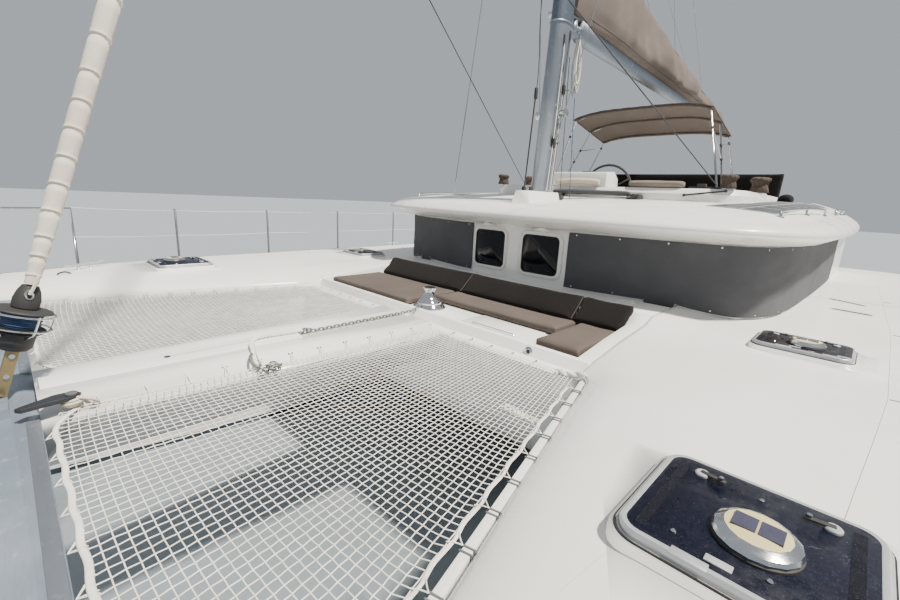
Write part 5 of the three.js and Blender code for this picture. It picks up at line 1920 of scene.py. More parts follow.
@dataclass(frozen=True)
class Wire:
    """A taut wire or rope between points, held at both ends."""

    name: str
    spots: tuple[Point, ...]
    radius: float
    finish: Finish

    def build(self) -> None:
        """Makes it."""
        settle(self.name, cords([self.spots], self.radius), self.finish, crease=80)


CLEW = on_stay(5.45) + vec(-0.02, 0, 0)
WIRES = [
    Wire("sheet_port", (CLEW + vec(0, 0.06, 0), (0.47, 1.42, 3.055)), 5.5, ROPE_BLACK),
    Wire("sheet_starboard", (CLEW - vec(0, 0.06, 0), (-0.34, -1.59, 3.06)), 5.5, ROPE_BLACK),
    Wire("halyard_tackle", ((1.93, -0.03, 2.83), (1.875, -0.025, 3.83)), 8.5, ROPE_BLACK),
    Wire(
        "halyard_fore",
        (
            (1.865, -0.025, 3.92), (1.8, -0.06, 4.16), (1.8, -0.13, 4.75), (1.5, -0.12, 9.0),
            (1.24, -0.05, 15.9)
        ), 4.5, ROPE_BLACK
    ),
    Wire("reef_line_port", ((1.4, 0.11, 4.4), (1.235, 0.12, 2.855)), 4.5, ROPE_BLUE),
    Wire("reef_line_aft", ((1.43, 0.05, 4.3), (1.31, 0.04, 2.85)), 4.0, ROPE_BLACK),
    Wire("reef_line_starboard", ((1.4, -0.1, 4.4), (1.25, -0.11, 2.85)), 4.5, ROPE_WHITE),
]


@dataclass(frozen=True)
class MastGear:
    """The mast, its fittings within reach of the deck, and the stays that hold its spreaders.

    Attributes:
        band_z: Height of the collar, above which the mast is painted darker as shade.
        halyards: Step ahead of the mast's middle, height of the exit and cord number of each halyard.
        tip: Step aft and out, and height, of a spreader's end.
    """

    band_z: float = 4.575
    halyards: tuple[tuple[float, float, int], ...] = (
        (0.045, 4.36, 0), (0.012, 4.1, 1), (-0.022, 3.92, 0), (-0.052, 4.42, 1)
    )
    tip: tuple[float, float, float] = (0.378, 1.138, 9.672)

    def face(self, z: float, ahead: float, out: float) -> Vector:
        """Point beside the mast's port face."""
        return vec(mast_x(z) + ahead, out, z)

    def build(self) -> None:
        """Makes the mast, halyards, exits, cleats, the collar, winches and diamond stays."""
        mast = copied("mast")
        bmesh.ops.bisect_plane(
            mast, geom=[*mast.verts, *mast.edges, *mast.faces], plane_co=(0, 0, self.band_z),
            plane_no=(0, 0, 1)
        )
        # Faces above the collar take the darker finish, which paints shade on the upper mast
        for face in mast.faces:
            face.material_index = int(face.calc_center_median().z > self.band_z)
        settle("mast_skin", mast, [SPAR_ALLOY, SPAR_PAINTED_SHADE], replaces=["mast"], crease=40)
        lines = bmesh.new()
        for ahead, high, number in self.halyards:
            spots = [
                self.face(z, ahead, 0.101 + 0.004 * sin(z * 4))
                for z in [mix(2.93, high, i / 8) for i in range(9)]
            ]
            cord(lines, [*spots, self.face(high + 0.05, ahead, 0.08)], 4.8, 6, number)
        settle("halyards", lines, [ROPE_WHITE, ROPE_GREY], crease=80)
        parts = bmesh.new()
        for ahead, high, _ in self.halyards:
            spot = self.face(high + 0.04, ahead, 0.086)
            block(parts, spot - vec(0.012, 0.012, 0.055), spot + vec(0.012, 0.008, 0.055), 0.004)
        for ahead, z in ((0.03, 3.42), (-0.03, 3.95)):
            spot = self.face(z, ahead, 0.104)
            block(parts, spot - vec(0.02, 0.016, 0.045), spot + vec(0.02, 0.014, 0.045), 0.006)
            cord(parts, [spot + vec(-0.02, 0.01, 0), spot + vec(-0.085, 0.012, 0.012)], 5)
        settle("mast_exits", parts, BLACK_PLASTIC, crease=40)
        collar = bmesh.new()
        ring = hoop((mast_x(self.band_z), 0, self.band_z), (0.1475, 0, 0), (0, 0.0925, 0), 40)
        cord(collar, ring, 9)
        lathe(
            collar, [(0, 0), (30, 0), (30, 8), (20, 14), (0, 16)], self.face(3.6, -0.06, 0.088), (0, 1, 0), 20
        )
        settle("mast_collar", collar, SPAR_ALLOY, crease=40)
        winch = bmesh.new()
        for hand in (-1, 1):
            foot = vec(mast_x(3.72) - 0.02, 0.086 * hand, 3.72)
            lathe(
                winch, [(0, 0), (52, 0), (52, 12), (36, 22), (33, 60), (40, 78), (42, 92), (20, 98), (0, 98)],
                foot, (0, hand, 0), 28
            )
        foot = vec(mast_x(4.7), -0.088, 4.7)
        lathe(
            winch, [(0, 0), (40, 0), (40, 10), (27, 18), (25, 46), (30, 60), (31, 70), (0, 74)], foot,
            (0, -1, 0), 24
        )
        settle("mast_winches", winch, STEEL, crease=35)
        block_shape, roof = bmesh.new(), Surface("coachroof")
        spot = vec(1.87, -0.025, 3.875)
        block(block_shape, spot - vec(0.018, 0.016, 0.055), spot + vec(0.018, 0.016, 0.055), 0.012, 3)
        for x, y in ((1.44, 0.13), (1.4, -0.13), (1.3, 0.06), (1.93, 0.06), (1.9, -0.05)):
            foot = roof.top(x, y)
            block(block_shape, foot - vec(0.03, 0.012, 0.006), foot + vec(0.03, 0.012, 0.044), 0.01, 3)
        settle("mast_blocks", block_shape, BLACK_PLASTIC, crease=40)
        self.build_coil()
        self.build_track()
        self.build_stays()

    def build_coil(self) -> None:
        """Makes the halyard tails, coiled and hung at the gooseneck."""
        shape = bmesh.new()
        for i in range(7):
            drop, swing = 0.3 + 0.035 * (i * 5 % 7), 0.022 * sin(i * 2.1)
            top = vec(1.405, 0.105 + 0.006 * i, 4.44)
            loop = [
                top, top + vec(-0.035 + swing, 0.012, -drop * 0.5), top + vec(-0.03 + swing, 0.008, -drop),
                top + vec(0.012 + swing, 0.01, -drop * 1.04), top + vec(0.028 + swing, -0.004, -drop * 0.55),
                top + vec(0.004, 0, 0.012)
            ]
            cord(shape, smooth_path(loop, 0.012), 5.0, 6, i % 3)
        settle("halyard_coil", shape, [ROPE_WHITE, ROPE_GREY, ROPE_TAN], crease=80)

    def build_track(self) -> None:
        """Makes the luff track up the mast's aft face."""
        shape = bmesh.new()
        spots = [
            vec(mast_x(z) - (0.147 if z < 16 else mix(0.147, 0.099, (z - 16) / 4.5)), 0, z)
            for z in [mix(4.95, 20.3, i / 24) for i in range(25)]
        ]
        cord(shape, spots, 11, 4, smooth=False)
        settle("mast_track", shape, SPAR_ALLOY, crease=60)

    def build_stays(self) -> None:
        """Makes the diamond stays over the spreaders' ends."""
        shape = bmesh.new()
        for hand in (-1, 1):
            tip = vec(mast_x(9.6) - self.tip[0], self.tip[1] * hand, self.tip[2])
            for z in (3.35, 15.55):
                cord(shape, [vec(mast_x(z), 0.092 * hand, z), tip], 4.5)
            lathe(shape, [(0, -30), (14, -30), (16, 0), (14, 30), (0, 30)], tip, sides=12)
        settle("diamond_stays", shape, STEEL, crease=60)


@dataclass(frozen=True)
class SailBag:
    """Mainsail in its zipped canvas bag along the boom, slack between its lines."""

    rows: tuple[tuple[float, float, float, float], ...] = (
        (1.372, 0.058, 1.1, 0.13), (1.15, 0.098, 1.165, 0.062), (0.9, 0.15, 1.1, 0.05),
        (0.6, 0.182, 1.0, 0.042), (-0.3, 0.2, 0.745, 0.022), (-1.6, 0.192, 0.545, 0.012),
        (-3.2, 0.162, 0.318, 0.012), (-4.48, 0.104, 0.2, 0.032)
    )
    goose: Pair = (1.33, 4.61)
    boom_end: float = -4.7

    def section(self, x: float, share: float) -> Vector:
        """Point of the bag's skin at a place along it, share 0 to 1 round it from the keel."""
        spots, i = self.rows, 0
        while i < len(spots) - 2 and x < spots[i + 1][0]:
            i += 1
        t = (x - spots[i][0]) / (spots[i + 1][0] - spots[i][0])
        t = t * t * (3 - 2 * t) * 0.4 + t * 0.6
        half, top, low = (mix(spots[i][k], spots[i + 1][k], t) for k in (1, 2, 3))
        drop = -0.09 * (self.goose[0] - x) / (self.goose[0] - self.boom_end)
        outline = [
            (0.0, 0.0), (0.62, 0.0), (1.0, 0.16), (0.97, 0.38), (0.8, 0.62), (0.52, 0.84), (0.2, 0.975),
            (0.0, 1.0)
        ]
        round_share = abs(share * 2 - 1)
        at = (1 - round_share) * (len(outline) - 1)
        k = min(int(at), len(outline) - 2)
        y, z = (mix(outline[k][j], outline[k + 1][j], at - k) for j in (0, 1))
        sign = 1 if share < 0.5 else -1
        y *= half * sign
        place = vec(x * 1.6, z * 1.4 + 4 * sign, share)
        belly = sin(pi * min(max(z, 0), 1))
        fold = (
            noise.noise(place) * 0.042
            + 0.026 * sin(x * 7.5 + z * 2.2 + 3 * noise.noise(place * 0.7)) * belly
            + 0.011 * sin(x * 19 + 4 * noise.noise(place)) * belly
        )
        sag = -0.028 * belly * abs(sin(pi * x / 1.15))
        push = (fold + sag) * min(1.0, half / 0.15) * (1 if 0.02 < z < 0.97 else 0)
        return vec(x, y + push * sign, self.goose[1] + drop + mix(low, top, z))

    def build(self) -> None:
        """Makes the bag, with its zip and its lines."""
        shape = bmesh.new()
        count, around = 150, 56
        rings = []
        for i in range(count + 1):
            x = mix(self.rows[0][0], self.rows[-1][0], i / count)
            rings.append([shape.verts.new(self.section(x, (k + 0.5) / around)) for k in range(around)])
        lofted(shape, rings)
        relaxed(shape, 0.4)
        made = settle("sail_bag_cloth", shape, TAUPE_CLOTH, "boom_rig", ["sail_bag"], 70)
        zipper = bmesh.new()
        ridge = [self.section(mix(1.14, -4.47, i / 60), 0.5) + above(0.003) for i in range(61)]
        cord(zipper, ridge, 7)
        for hand in (0.1, 0.9):
            edge = [self.section(mix(1.13, -4.46, i / 60), hand) for i in range(61)]
            cord(zipper, edge, 4.5, 6, 1)
        settle("sail_bag_trim", zipper, [BLACK_PLASTIC, BROWN_CLOTH], "boom_rig", crease=80)


@dataclass(frozen=True)
class LazyJacks:
    """Thin lines from high on the mast to the sail bag. They ride the boom, as their lower ends do."""

    ends: tuple[float, ...] = (0.25, -1.35, -3.0)

    def build(self) -> None:
        """Makes the lines of both sides up to the boom's own turning line."""
        bag = SailBag()
        shape = bmesh.new()
        for hand in (-1, 1):
            knot = vec(0.55, 0.3 * hand, 7.2)
            for x in self.ends:
                cord(shape, [bag.section(x, 0.5 - 0.2 * hand), knot], 2.6)
            cord(shape, [knot, vec(1.33, 0.06 * hand, 9.2)], 2.6)
        settle("lazy_jacks", shape, ROPE_GREY, "boom_rig", crease=80)


# Flybridge and roof


@dataclass(frozen=True)
class Bimini:
    """Canvas canopy that is stretched over its three bows."""

    fore: float = -0.55
    aft: float = -1.62
    half: float = 0.96
    heights: Pair = (4.06, 3.85)
    crown: float = 0.09
    thick: float = 0.003
    bows: tuple[float, ...] = (-0.575, -1.085, -1.595)
    feet: tuple[float, ...] = (-0.45, -0.65, -1.35)

    def level(self, x: float, y: float) -> float:
        """Underside of the canopy's solid at a place."""
        along = (x - self.aft) / (self.fore - self.aft)
        bulge = sin(pi * min(max(along, 0.0), 1.0))
        slope = mix(self.heights[1], self.heights[0], along)
        return slope + (self.crown + 0.03 * bulge) * (1 - (y / self.half) ** 4)

    def skin(self, along: float, across: float) -> Vector:
        """Point of the canopy's upper face, which sinks a little between the bows."""
        x, y = mix(self.aft, self.fore, along), mix(-self.half, self.half, across)
        sag = 0.006 * abs(sin(2 * pi * along)) * (1 - abs(2 * across - 1) ** 6)
        pucker = noise.noise(vec(x * 9, y * 5, 0.4)) * 0.0022
        edge = 0.004 * sin(y * 34) * (1 if along > 0.96 or along < 0.04 else 0)
        return vec(x, y, self.level(x, y) + 0.0125 - sag + pucker + edge * 0.4)

    def build(self) -> None:
        """Makes the canopy, its hems, its seams and its braces."""
        long, wide = 44, 84
        rows = [[self.skin(i / long, k / wide) for k in range(wide + 1)] for i in range(long + 1)]
        shape = plate(rows, lambda spot: above(-self.thick))
        made = settle("bimini_cloth", shape, BIMINI_CLOTH, replaces=["bimini_canopy"], crease=60)
        hems = bmesh.new()
        for i in (0, long):
            cord(hems, [spot - above(0.004) for spot in rows[i]], 6.5)
        for k in (0, wide):
            cord(hems, [row[k] - above(0.004) for row in rows], 5.5)
        cord(hems, [spot + above(0.001) for spot in rows[long // 2]], 3.4)
        for x in self.bows:
            sleeve = [vec(x, y, self.level(x, y) - 0.014) for y in (-0.93 + 0.0465 * i for i in range(41))]
            cord(hems, sleeve, 15.5, 10, 1)
        hem = settle("bimini_hem", hems, [BROWN_CLOTH, BIMINI_CLOTH], crease=80)
        braces = bmesh.new()
        for hand in (-1, 1):
            legs = [
                (vec(foot, 1.23 * hand, 2.9), vec(x, 0.93 * hand, self.level(x, 0.93) - 0.014))
                for foot, x in zip(self.feet, self.bows)
            ]
            joints = ((1, 0.72), (2, 0.9), (0, 0.8), (1, 0.55))
            spots = [legs[i][0].lerp(legs[i][1], share) for i, share in joints]
            for ends in (spots[:2], spots[2:]):
                cord(braces, ends, 6, 8)
            for (i, _), spot in zip(joints, spots):
                lathe(braces, [(0, -16), (17, -16), (17, 16), (0, 16)], spot, legs[i][1] - legs[i][0], 14, 1)
            for foot, _ in legs:
                lathe(braces, [(0, -8), (24, -8), (24, 2), (14, 8), (13, 26), (0, 27)], foot, sides=16)
        settle("bimini_braces", braces, [STEEL, BLACK_PLASTIC], crease=45)


def bolster(
    name: str, spots: Sequence[Point], radius: float, finish: Finish, squash: float = 0.75, sides: int = 20
) -> None:
    """Makes a rolled or stuffed cloth that lies along a line, with puckers.

    Args:
        name: The piece's name.
        spots: Places that its middle runs through.
        radius: Its radius in metres.
        finish: Its cloth.
        squash: How flat it lies, as a share of its height.
        sides: Faces round it.
    """
    line = smooth_path(spots, radius * 0.35)
    shape = bmesh.new()
    rings = []
    for i, spot in enumerate(line):
        along = (line[min(i + 1, len(line) - 1)] - line[max(i - 1, 0)]).normalized()
        out = along.cross((0, 0, 1)).normalized()
        up = out.cross(along)
        end = min(i, len(line) - 1 - i) / max(1, len(line) - 1)
        size = radius * min(1.0, 0.72 + (end * len(line) / 3) ** 0.5 * 0.28)
        ring = []
        for angle in turns(sides):
            wave = 1 + 0.1 * noise.noise(vec(spot.x * 9, spot.y * 9, cos(angle) * 1.5 + angle))
            ring.append(shape.verts.new(
                spot + out * size * wave * cos(angle) + up * size * squash * wave * sin(angle)
            ))
        rings.append(ring)
    lofted(shape, rings)
    made = settle(name, shape, finish, crease=70)


@dataclass(frozen=True)
class HelmDeck:
    """What lies on the flybridge's coaming and on the roof before it.

    Attributes:
        top: Height of the coaming.
        winches: Places of the port winches, the fore one first.
        clutches: Y of each clutch at the flybridge's foot.
        rails: Feet of each handrail on the port side.
    """

    top: float = 3.0425
    winches: tuple[Pair, ...] = ((0.395, 1.49), (-0.5, 1.615))
    clutches: tuple[float, ...] = (-0.42, -0.37, 0.56, 0.61, 0.66)
    rails: tuple[tuple[Pair, ...], ...] = (
        ((1.54, 2.14), (1.04, 2.245), (0.46, 2.32)), ((-0.5, 2.345), (-1.08, 2.355), (-1.65, 2.36))
    )

    def build(self) -> None:
        """Makes the winches, the rolls, the clutches, the bag, the instruments and the handrails."""
        pods = bmesh.new()
        for i, (x, y) in enumerate(self.winches):
            for hand, side in SIDES:
                self.build_winch(f"winch_{side}_{i}", vec(x, y * hand, self.top), 1 + 0.22 * i)
                if i:
                    lathe(
                        pods, [(0, -165), (74, -165), (86, -20), (82, -3), (76, 0), (0, 0)],
                        (x, y * hand, self.top - 0.002)
                    )
        settle("winch_pods", pods, DECK)
        bolster(
            "roll_beige",
            [(0.44, 0.46, self.top + 0.04), (0.44, 0.76, self.top + 0.042), (0.435, 1.07, self.top + 0.04)],
            0.05, BEIGE_CLOTH
        )
        bolster(
            "console_cover", [(0.49, -0.5, 3.085), (0.5, -0.2, 3.105), (0.49, 0.1, 3.09)], 0.072, CREAM_CLOTH,
            squash=0.55
        )
        bolster(
            "roll_dark", [(0.56, -0.5, 2.962), (0.565, 0.0, 2.967), (0.56, 0.52, 2.962)], 0.038, COVER_CLOTH
        )
        pole = bmesh.new()
        cord(pole, [vec(0.555, 1.12, 2.965), vec(0.5, 1.5, 3.02)], 10, 10)
        for spot in ((0.555, 1.12, 2.965), (0.5, 1.5, 3.02)):
            lathe(pole, [(0, -17), (12, -14), (17, 0), (12, 14), (0, 17)], spot, sides=16)
        settle("whisker_pole", pole, BLACK_PLASTIC, crease=50)
        bolster(
            "line_bag", [(-0.98, 1.8, 2.985), (-1.08, 1.815, 2.99), (-1.19, 1.81, 2.985)], 0.08, BLACK_CLOTH,
            squash=0.9
        )
        self.build_clutches()
        self.build_panels()
        self.build_handrails()
        self.build_helm()

    def build_winch(self, name: str, foot: Vector, scale: float) -> None:
        """Makes a winch and the fabric cover over it."""
        shape = bmesh.new()
        lathe(shape, [(0, -2), (72, -2), (72, 8), (58, 18), (0, 18)], foot, sides=28)
        settle(name, shape, STEEL)
        cover = bmesh.new()
        rows = [
            (0, 6), (68, 4), (74, 12), (72, 36), (66, 62), (62, 78), (66, 92), (78, 108), (82, 124),
            (76, 138), (52, 147), (20, 150), (0, 150)
        ]
        lathe(cover, [(scale * out, scale * up) for out, up in rows], foot, sides=48)
        for vertex in cover.verts:
            away = vertex.co - foot
            angle = atan2(away.y, away.x)
            lumps = noise.noise(vec(cos(angle) * 2, sin(angle) * 2, away.z * 22 + foot.x))
            pleat = 1 + 0.05 * sin(angle * 11 + away.z * 30) + 0.14 * lumps
            vertex.co = foot + vec(away.x * pleat, away.y * pleat, away.z * (1 + 0.05 * lumps))
        made = settle(f"{name}_cover", cover, BROWN_CLOTH, crease=60)

    def build_clutches(self) -> None:
        """Makes the clutches at the flybridge's foot, and the lines that lead to them from the mast."""
        roof = Surface("coachroof")
        parts, ropes = bmesh.new(), bmesh.new()
        for i, y in enumerate(self.clutches):
            foot = roof.top(0.6, y)
            block(parts, foot + vec(-0.07, -0.019, -0.004), foot + vec(0.09, 0.019, 0.042), 0.006)
            block(parts, foot + vec(-0.05, -0.014, 0.04), foot + vec(0.06, 0.014, 0.055), 0.005)
            start = roof.top(1.42, 0.11 * (1 if y > 0 else -1), 0.014)
            spots = [start.lerp(foot + vec(0.06, 0, 0.024), k / 6) for k in range(7)]
            for spot in spots[1:-1]:
                spot.z = max(spot.z, roof.top(spot.x, spot.y).z + 0.006)
            cord(ropes, spots, 4.6, 6, i % 3)
        settle("clutches", parts, BLACK_PLASTIC, crease=40)
        settle("lead_lines", ropes, [ROPE_GREY, ROPE_BLACK, ROPE_WHITE], crease=80)
        track = bmesh.new()
        block(track, (0.405, 1.12, self.top - 0.001), (0.435, 1.44, self.top + 0.02), 0.004)
        block(track, (0.395, 1.2, self.top + 0.018), (0.445, 1.29, self.top + 0.05), 0.008)
        settle("sheet_track", track, BLACK_PLASTIC, crease=40)

    def build_panels(self) -> None:
        """Makes the two flexible solar panels on the roof, which follow its curve."""
        roof = Surface("coachroof")
        for hand, side in SIDES:
            long, wide = 40, 8
            rows = []
            for i in range(long + 1):
                share = i / long
                low, high = mix(1.53, 1.735, min(1.0, share * 3)), mix(2.096, 2.235, share ** 0.5)
                rows.append([
                    roof.top(
                        mix(1.242 + 0.21 * k / wide, -1.22, share), mix(low, high, k / wide) * hand, 0.0032
                    ) for k in range(wide + 1)
                ])
            shape = plate(rows, lambda spot: above(-0.0025))
            settle(f"solar_panel_{side}", shape, PANEL_CELL, crease=50)
            lines = bmesh.new()
            for i in range(0, long + 1, 5):
                cord(lines, [spot + above(0.0006) for spot in rows[i]], 3.4, 4, smooth=False)
            for k in (0, 4, wide):
                cord(lines, [row[k] + above(0.0006) for row in rows], 3.4, 4, smooth=False)
            settle(f"solar_panel_{side}_lines", lines, LIGHT_GREY, crease=80)

    def build_handrails(self) -> None:
        """Makes the stainless handrails on the roof's edges."""
        roof = Surface("coachroof")
        for hand, side in SIDES:
            shape = bmesh.new()
            for spots in self.rails:
                feet = [roof.top(x, y * hand) for x, y in spots]
                line = [
                    feet[0], feet[0] + vec(-0.05, 0, 0.048), feet[1] + above(0.052),
                    feet[2] + vec(0.05, 0, 0.048), feet[2]
                ]
                cord(shape, smooth_path(line, 0.03), 11, 10)
                cord(shape, [feet[1], feet[1] + above(0.052)], 9, 10)
                for foot in feet:
                    lathe(shape, [(0, -4), (26, -4), (26, 3), (14, 8), (0, 9)], foot, sides=18)
            settle(f"handrail_{side}", shape, STEEL, crease=50)

    def build_helm(self) -> None:
        """Makes the instruments and the throttle on the helm console."""
        shape = bmesh.new()
        for y in (-0.56, -0.38, 0.02):
            foot = vec(0.176, y, 3.186)
            way = vec(-0.56, 0, 0.83)
            lathe(shape, [(0, -6), (52, -6), (52, 6), (44, 10), (0, 10)], foot, way, 28)
            lathe(shape, [(0, 9), (41, 9), (41, 11.5), (0, 12)], foot, way, 28, 1)
        block(shape, (0.19, -0.27, 3.19), (0.3, -0.09, 3.242), 0.01)
        settle("helm_instruments", shape, [BLACK_PLASTIC, WINDOW_ACRYLIC], crease=40)


# Ground tackle


@dataclass(frozen=True)
class GroundTackle:
    """Chain in its groove, the bridle that takes its load, and the windlass.

    Attributes:
        pitch: Length of one link inside, in metres.
        wire: Radius of its wire in millimetres.
        level: Height of the chain in its groove.
        chain_end: X of the chain's fore end.
        cover: X of the cover's aft end, of the end of its slot, and of its fore end.
        windlass: Place of the windlass, and height of its foot.
        cleat: Place of the blade's foot on the crossbeam.
        eye: Place of the eye in the coaming.
    """

    pitch: float = 0.0315
    wire: float = 5.0
    level: float = 1.8485
    chain_end: float = 5.735
    cover: tuple[float, float, float] = (4.5, 5.25, 5.785)
    windlass: tuple[float, float, float] = (3.2, -0.06, 1.8348)
    cleat: Pair = (5.69, 0.272)
    eye: tuple[float, float, float] = (3.424, 1.175, 1.823)

    def link(self, middle: Vector, along: Vector, tilt: float) -> list[Vector]:
        """Centre line of one link."""
        side = along.cross((0, 0, 1)).normalized()
        up = side.cross(along)
        wide = side * cos(tilt) + up * sin(tilt)
        spots = []
        for angle in turns(12, pi / 12):
            reach = 0.0125 if cos(angle) > 0 else -0.0125
            spots.append(middle + along * (reach + 0.0075 * cos(angle)) + wide * 0.0115 * sin(angle))
        return [*spots, spots[0]]

    def chain(self, path: Sequence[Point]) -> Mesh:
        """Links along a path."""
        spots = smooth_path(path, self.pitch)
        links = []
        for i, (a, b) in enumerate(zip(spots, spots[1:])):
            tilt = radians(38 if i % 2 else -46)
            links.append(self.link((a + b) / 2, (b - a).normalized(), tilt))
        return cords(links, self.wire * 0.82, 6, smooth=False)

    def build(self) -> None:
        """Makes all of it."""
        shape = bmesh.new()
        joined(
            shape,
            self.chain([
                (3.335, -0.025, 1.885), (3.4, -0.008, 1.872), (3.47, 0, self.level + 0.004),
                (4.0, 0, self.level), (5.0, 0, self.level), (self.chain_end, 0, self.level)
            ])
        )
        settle("anchor_chain_links", shape, GALVANISED, replaces=["anchor_chain"], crease=60)
        self.build_cover()
        self.build_bridle()
        self.build_windlass()
        self.build_bow_fittings()

    def build_cover(self) -> None:
        """Makes the moulded cover over the groove's fore part, slotted over the chain, and its end eye."""
        shape = bmesh.new()
        aft, middle, fore = self.cover
        for start, end, slot, hand in (
            (aft, middle, 0.004, 1), (aft, middle, 0.004, -1), (middle, fore, 0.0, 1), (middle, fore, 0.0, -1)
        ):
            rows = []
            for i in range(25):
                x = mix(start, end, i / 24)
                half = mix(0.374, 0.305, (x - aft) / 1.3) * 0.24 + 0.012
                rows.append([
                    vec(x, mix(slot, half, share) * hand, 1.8625 - 0.01 * share ** 3)
                    for share in (0, 0.5, 0.8, 0.92, 1.0)
                ])
            joined(shape, plate(rows, lambda spot: above(-0.008)))
        block(shape, (aft + 0.002, -0.006, 1.858), (middle, 0.006, 1.8608), number=1)
        lathe(shape, [(0, -4), (17, -4), (17, 1.2), (0, 1.2)], (5.258, 0, 1.8625), sides=24, number=1)
        settle("chain_cover", shape, [DECK, BLACK_PLASTIC], crease=40)

    def build_bridle(self) -> None:
        """Makes the bridle's rope over the beam, its shackles and the hook that rests on the net."""
        rope = bmesh.new()
        route = [
            (4.466, 0.02, 1.876), (4.54, 0.024, 1.878), (4.614, 0.018, 1.878), (4.7, 0.006, 1.878),
            (4.765, 0.014, 1.878), (4.815, 0.06, 1.877), (4.845, 0.12, 1.876), (4.868, 0.2, 1.873),
            (4.884, 0.258, 1.858), (4.89, 0.292, 1.836), (4.89, 0.33, 1.818)
        ]
        laid(rope, strands(smooth_path(route, 0.02), 3, 6.5, 60), 7.0, 8)
        cord(
            rope,
            smooth_path([
                (4.47, 0.0, 1.873), (4.62, -0.01, 1.874), (4.745, -0.014, 1.875), (4.8, 0.036, 1.875),
                (4.828, 0.12, 1.875), (4.848, 0.2, 1.872), (4.86, 0.252, 1.858), (4.864, 0.3, 1.828)
            ], 0.02), 8.0, 8
        )
        settle("bridle_rope", rope, ROPE_WHITE, crease=80)
        hook = bmesh.new()
        joined(hook, self.chain([(4.395, 0.0, 1.862), (4.43, 0.008, 1.87), (4.475, 0.014, 1.874)]))
        pile = [
            (4.89, 0.33, 1.822), (4.895, 0.375, 1.816), (4.87, 0.412, 1.818), (4.83, 0.432, 1.82),
            (4.795, 0.412, 1.822), (4.805, 0.38, 1.832), (4.845, 0.385, 1.838), (4.875, 0.415, 1.84),
            (4.83, 0.425, 1.846)
        ]
        joined(hook, self.chain(pile))
        claw = [
            (4.892, 0.25, 1.868), (4.915, 0.28, 1.86), (4.918, 0.32, 1.837), (4.898, 0.35, 1.824),
            (4.88, 0.335, 1.822)
        ]
        cord(hook, smooth_path(claw, 0.01), 8.5, 8)
        settle("chain_hook", hook, GALVANISED, crease=60)

    def build_windlass(self) -> None:
        """Makes the windlass' chrome base and its turning head with six whelps."""
        low, base = Vector(self.windlass), bmesh.new()
        lathe(base, [(0, 0), (150, 0), (150, 8), (142, 12), (128, 34), (120, 42.6), (0, 43)], low, sides=48)
        for angle in turns(6, 0.3):
            lathe(
                base, [(0, 0), (8, 0), (8, 5), (0, 6)], low + above(0.0097) + outward(angle) * 0.141, sides=8
            )
        settle("windlass_base", base, CHROME, crease=35)
        head = bmesh.new()
        foot = low + above(0.0437)
        rows = [
            (0, 0), (100, 0), (103, 6), (98, 16), (76, 34), (56, 56), (44, 78), (38, 96), (38, 106), (0, 106)
        ]
        lathe(head, rows, foot, sides=48)
        lathe(
            head, [(0, 104), (36, 104), (40, 110), (46, 128), (50, 136), (48, 141), (0, 141)], foot, sides=32
        )
        for out in map(outward, turns(6)):
            finger = [foot + out * r + above(z) for r, z in ((0.037, 0.1), (0.041, 0.118), (0.056, 0.137))]
            cord(head, finger, 6.5)
        for out in map(outward, turns(10, 0.2)):
            rib = [foot + out * r * MM + above(z * MM) for r, z in ((99, 14), (77, 33), (57, 55), (45, 77))]
            cord(head, smooth_path(rib, 0.012), 4.2)
        settle("windlass_head", head, CHROME, "windlass", ["windlass_drum"], 35)

    def build_bow_fittings(self) -> None:
        """Makes the blade, the rope round its foot, the beam's lighter strip and the coaming's eye."""
        blade = bmesh.new()
        outline = [
            (5.872, 0.326), (5.854, 0.346), (5.742, 0.318), (5.69, 0.306), (5.664, 0.292), (5.655, 0.268),
            (5.668, 0.246), (5.694, 0.236), (5.75, 0.244), (5.858, 0.314)
        ]

        def place(x: float, y: float, z: float) -> Vector:
            return vec(x, y, z + (x - 5.66) * 0.045)

        panel(blade, outline, (1.852, 1.87), place, ease=0.003)
        lathe(blade, [(0, 0), (22, 0), (22, 10), (9, 14), (0, 14)], (*self.cleat, 1.868), sides=20, number=1)
        lathe(blade, [(0, 0), (16, 0), (16, 40), (0, 40)], (*self.cleat, 1.814), sides=16, number=1)
        settle("beam_cleat", blade, [LIGHT_BLADE, GREY_PLASTIC], crease=40)
        wraps = []
        for i in range(5):
            size, high = 0.03 + 0.004 * (i % 3), 1.822 + 0.0066 * i
            wraps += [
                Vector((*self.cleat, high + 0.0008 * k)) + outward(a) * size for k, a in enumerate(turns(12))
            ]
        tail = [
            (5.665, 0.3, 1.858), (5.62, 0.315, 1.84), (5.6, 0.29, 1.815), (5.63, 0.26, 1.826),
            (5.66, 0.235, 1.838)
        ]
        settle("beam_cleat_rope", cords([smooth_path([*wraps, *tail], 0.012)], 6.5, 8), ROPE_TAN, crease=80)
        strip = bmesh.new()
        for hand in (-1, 1):
            low, high = sorted((0.325 * hand, 2.19 * hand))
            block(strip, (5.8035, low, 1.7905), (5.846, high, 1.8105), 0.003)
        settle("beam_strip", strip, SPAR_ALLOY, crease=40)
        eye = bmesh.new()
        lathe(eye, [(0, 0), (33, 0), (33, 3), (27, 8), (20, 10), (17, 6), (0, 6)], self.eye, (1, 0, 0.1), 28)
        lathe(eye, [(0, 5), (16, 5), (12, 9), (0, 10)], self.eye, (1, 0, 0.1), 18, 1)
        settle("coaming_eye", eye, [STEEL, BLACK_PLASTIC], crease=40)
        handle = bmesh.new()
        line = [(3.315, 0.56, 1.853), (3.315, 0.57, 1.866), (3.315, 0.96, 1.866), (3.315, 0.97, 1.853)]
        cord(handle, line, 4.5, 8, smooth=False)
        settle("locker_handle", handle, STEEL, "locker", crease=60)


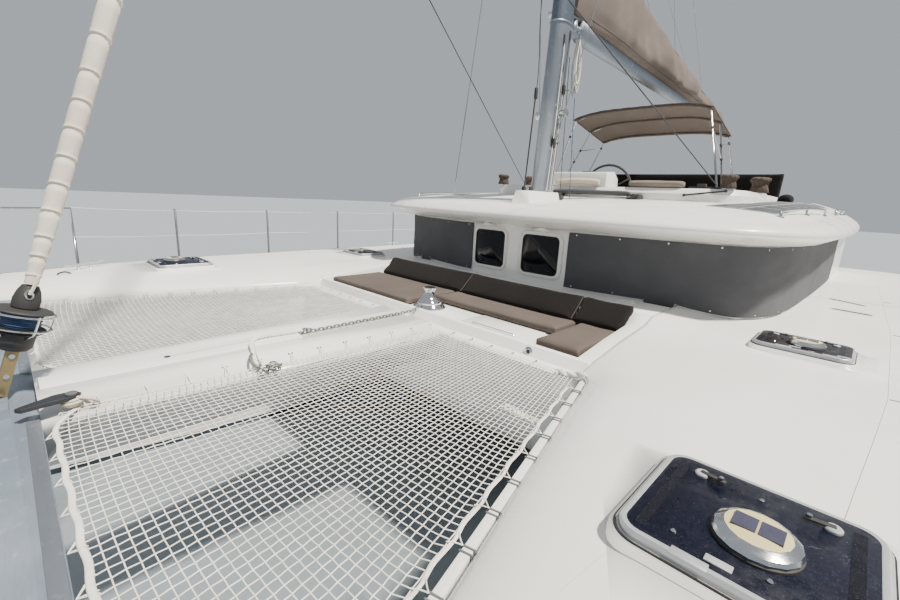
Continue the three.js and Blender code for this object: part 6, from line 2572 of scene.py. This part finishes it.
@dataclass(frozen=True)
class SmallThings:
    """Piping of the fore-cockpit's backrests, and what lies loose or flush on deck and roof."""

    joints: tuple[float, ...] = (-0.167, 1.063)

    def build(self) -> None:
        """Makes the piping, the dome before the cabin, the chafe roll and the roof's seams."""
        shape = bmesh.new()
        for y in self.joints:
            cord(shape, smooth_path([(2.672, y, 1.903), (2.56, y, 2.005), (2.5, y, 2.059)], 0.02), 2.6)
            spots = [(2.664, y, 1.9), (2.554, y, 1.996), (2.494, y, 2.05)]
            cord(shape, smooth_path(spots, 0.02), 9, 8, 1)
        settle("backrest_piping", shape, [PIPING_CLOTH, BACK_CLOTH_WITH_SHADE], crease=80)
        dome = bmesh.new()
        lathe(dome, [(0, -3), (38, -3), (38, 6), (30, 20), (14, 29), (0, 31)], (2.15, 1.33, 2.008), sides=28)
        settle("deck_dome", dome, WHITE_PLASTIC, crease=50)
        roll = bmesh.new()
        spots = strands([(3.545, 1.46, 1.803), (3.535, 1.55, 1.807), (3.522, 1.64, 1.835)], 2, 10, 120)
        laid(roll, spots, 15, 8)
        settle("chafe_roll", roll, ROPE_WHITE, crease=80)
        seams(
            "roof_seams",
            [
                Seam(((2.385, 0.285), (2.15, 0.33), (1.81, 0.3), (1.3, 0.3)), "coachroof"),
                Seam(((1.3, 0.3), (0.6, 0.3)), "coachroof")
            ], SEAM_GREY, hands=(1,)
        )


PARTS: Sequence[Part] = [
    *SKINS, *CUSHIONS, Net(1), Net(-1), WindowCover(1, 0.655), WindowCover(-1, 0.52),
    Portlight("starboard", (-0.475, 2.108), (-0.065, 2.497)),
    Portlight("port", (0.155, 2.108), (0.575, 2.497)),
    *[DeckHatch(hand, "fore", (4.52, 2.61), (0.5, 0.54)) for hand, _ in SIDES],
    *[DeckHatch(hand, "mid", (2.235, 2.5), (0.4, 0.5), 0.01, MID_ACRYLIC) for hand, _ in SIDES], DeckWork(),
    Guardrail(1), Guardrail(-1), FurledSail(), Furler(), *WIRES, MastGear(), SailBag(), LazyJacks(), Bimini(),
    HelmDeck(), GroundTackle(), SmallThings(),
]


def main() -> None:
    """Builds the boat's looks, one part after the other."""
    Viewpoint().set_up()
    Studio().set_up()
    for part in PARTS:
        part.build()
    left = [name for name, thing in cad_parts.items() if not thing.hide_render]
    LOG.info("solids that show as they are: %s", left)


if __name__ == "__main__":
    logging.basicConfig(level=logging.INFO, format="%(message)s")
    main()
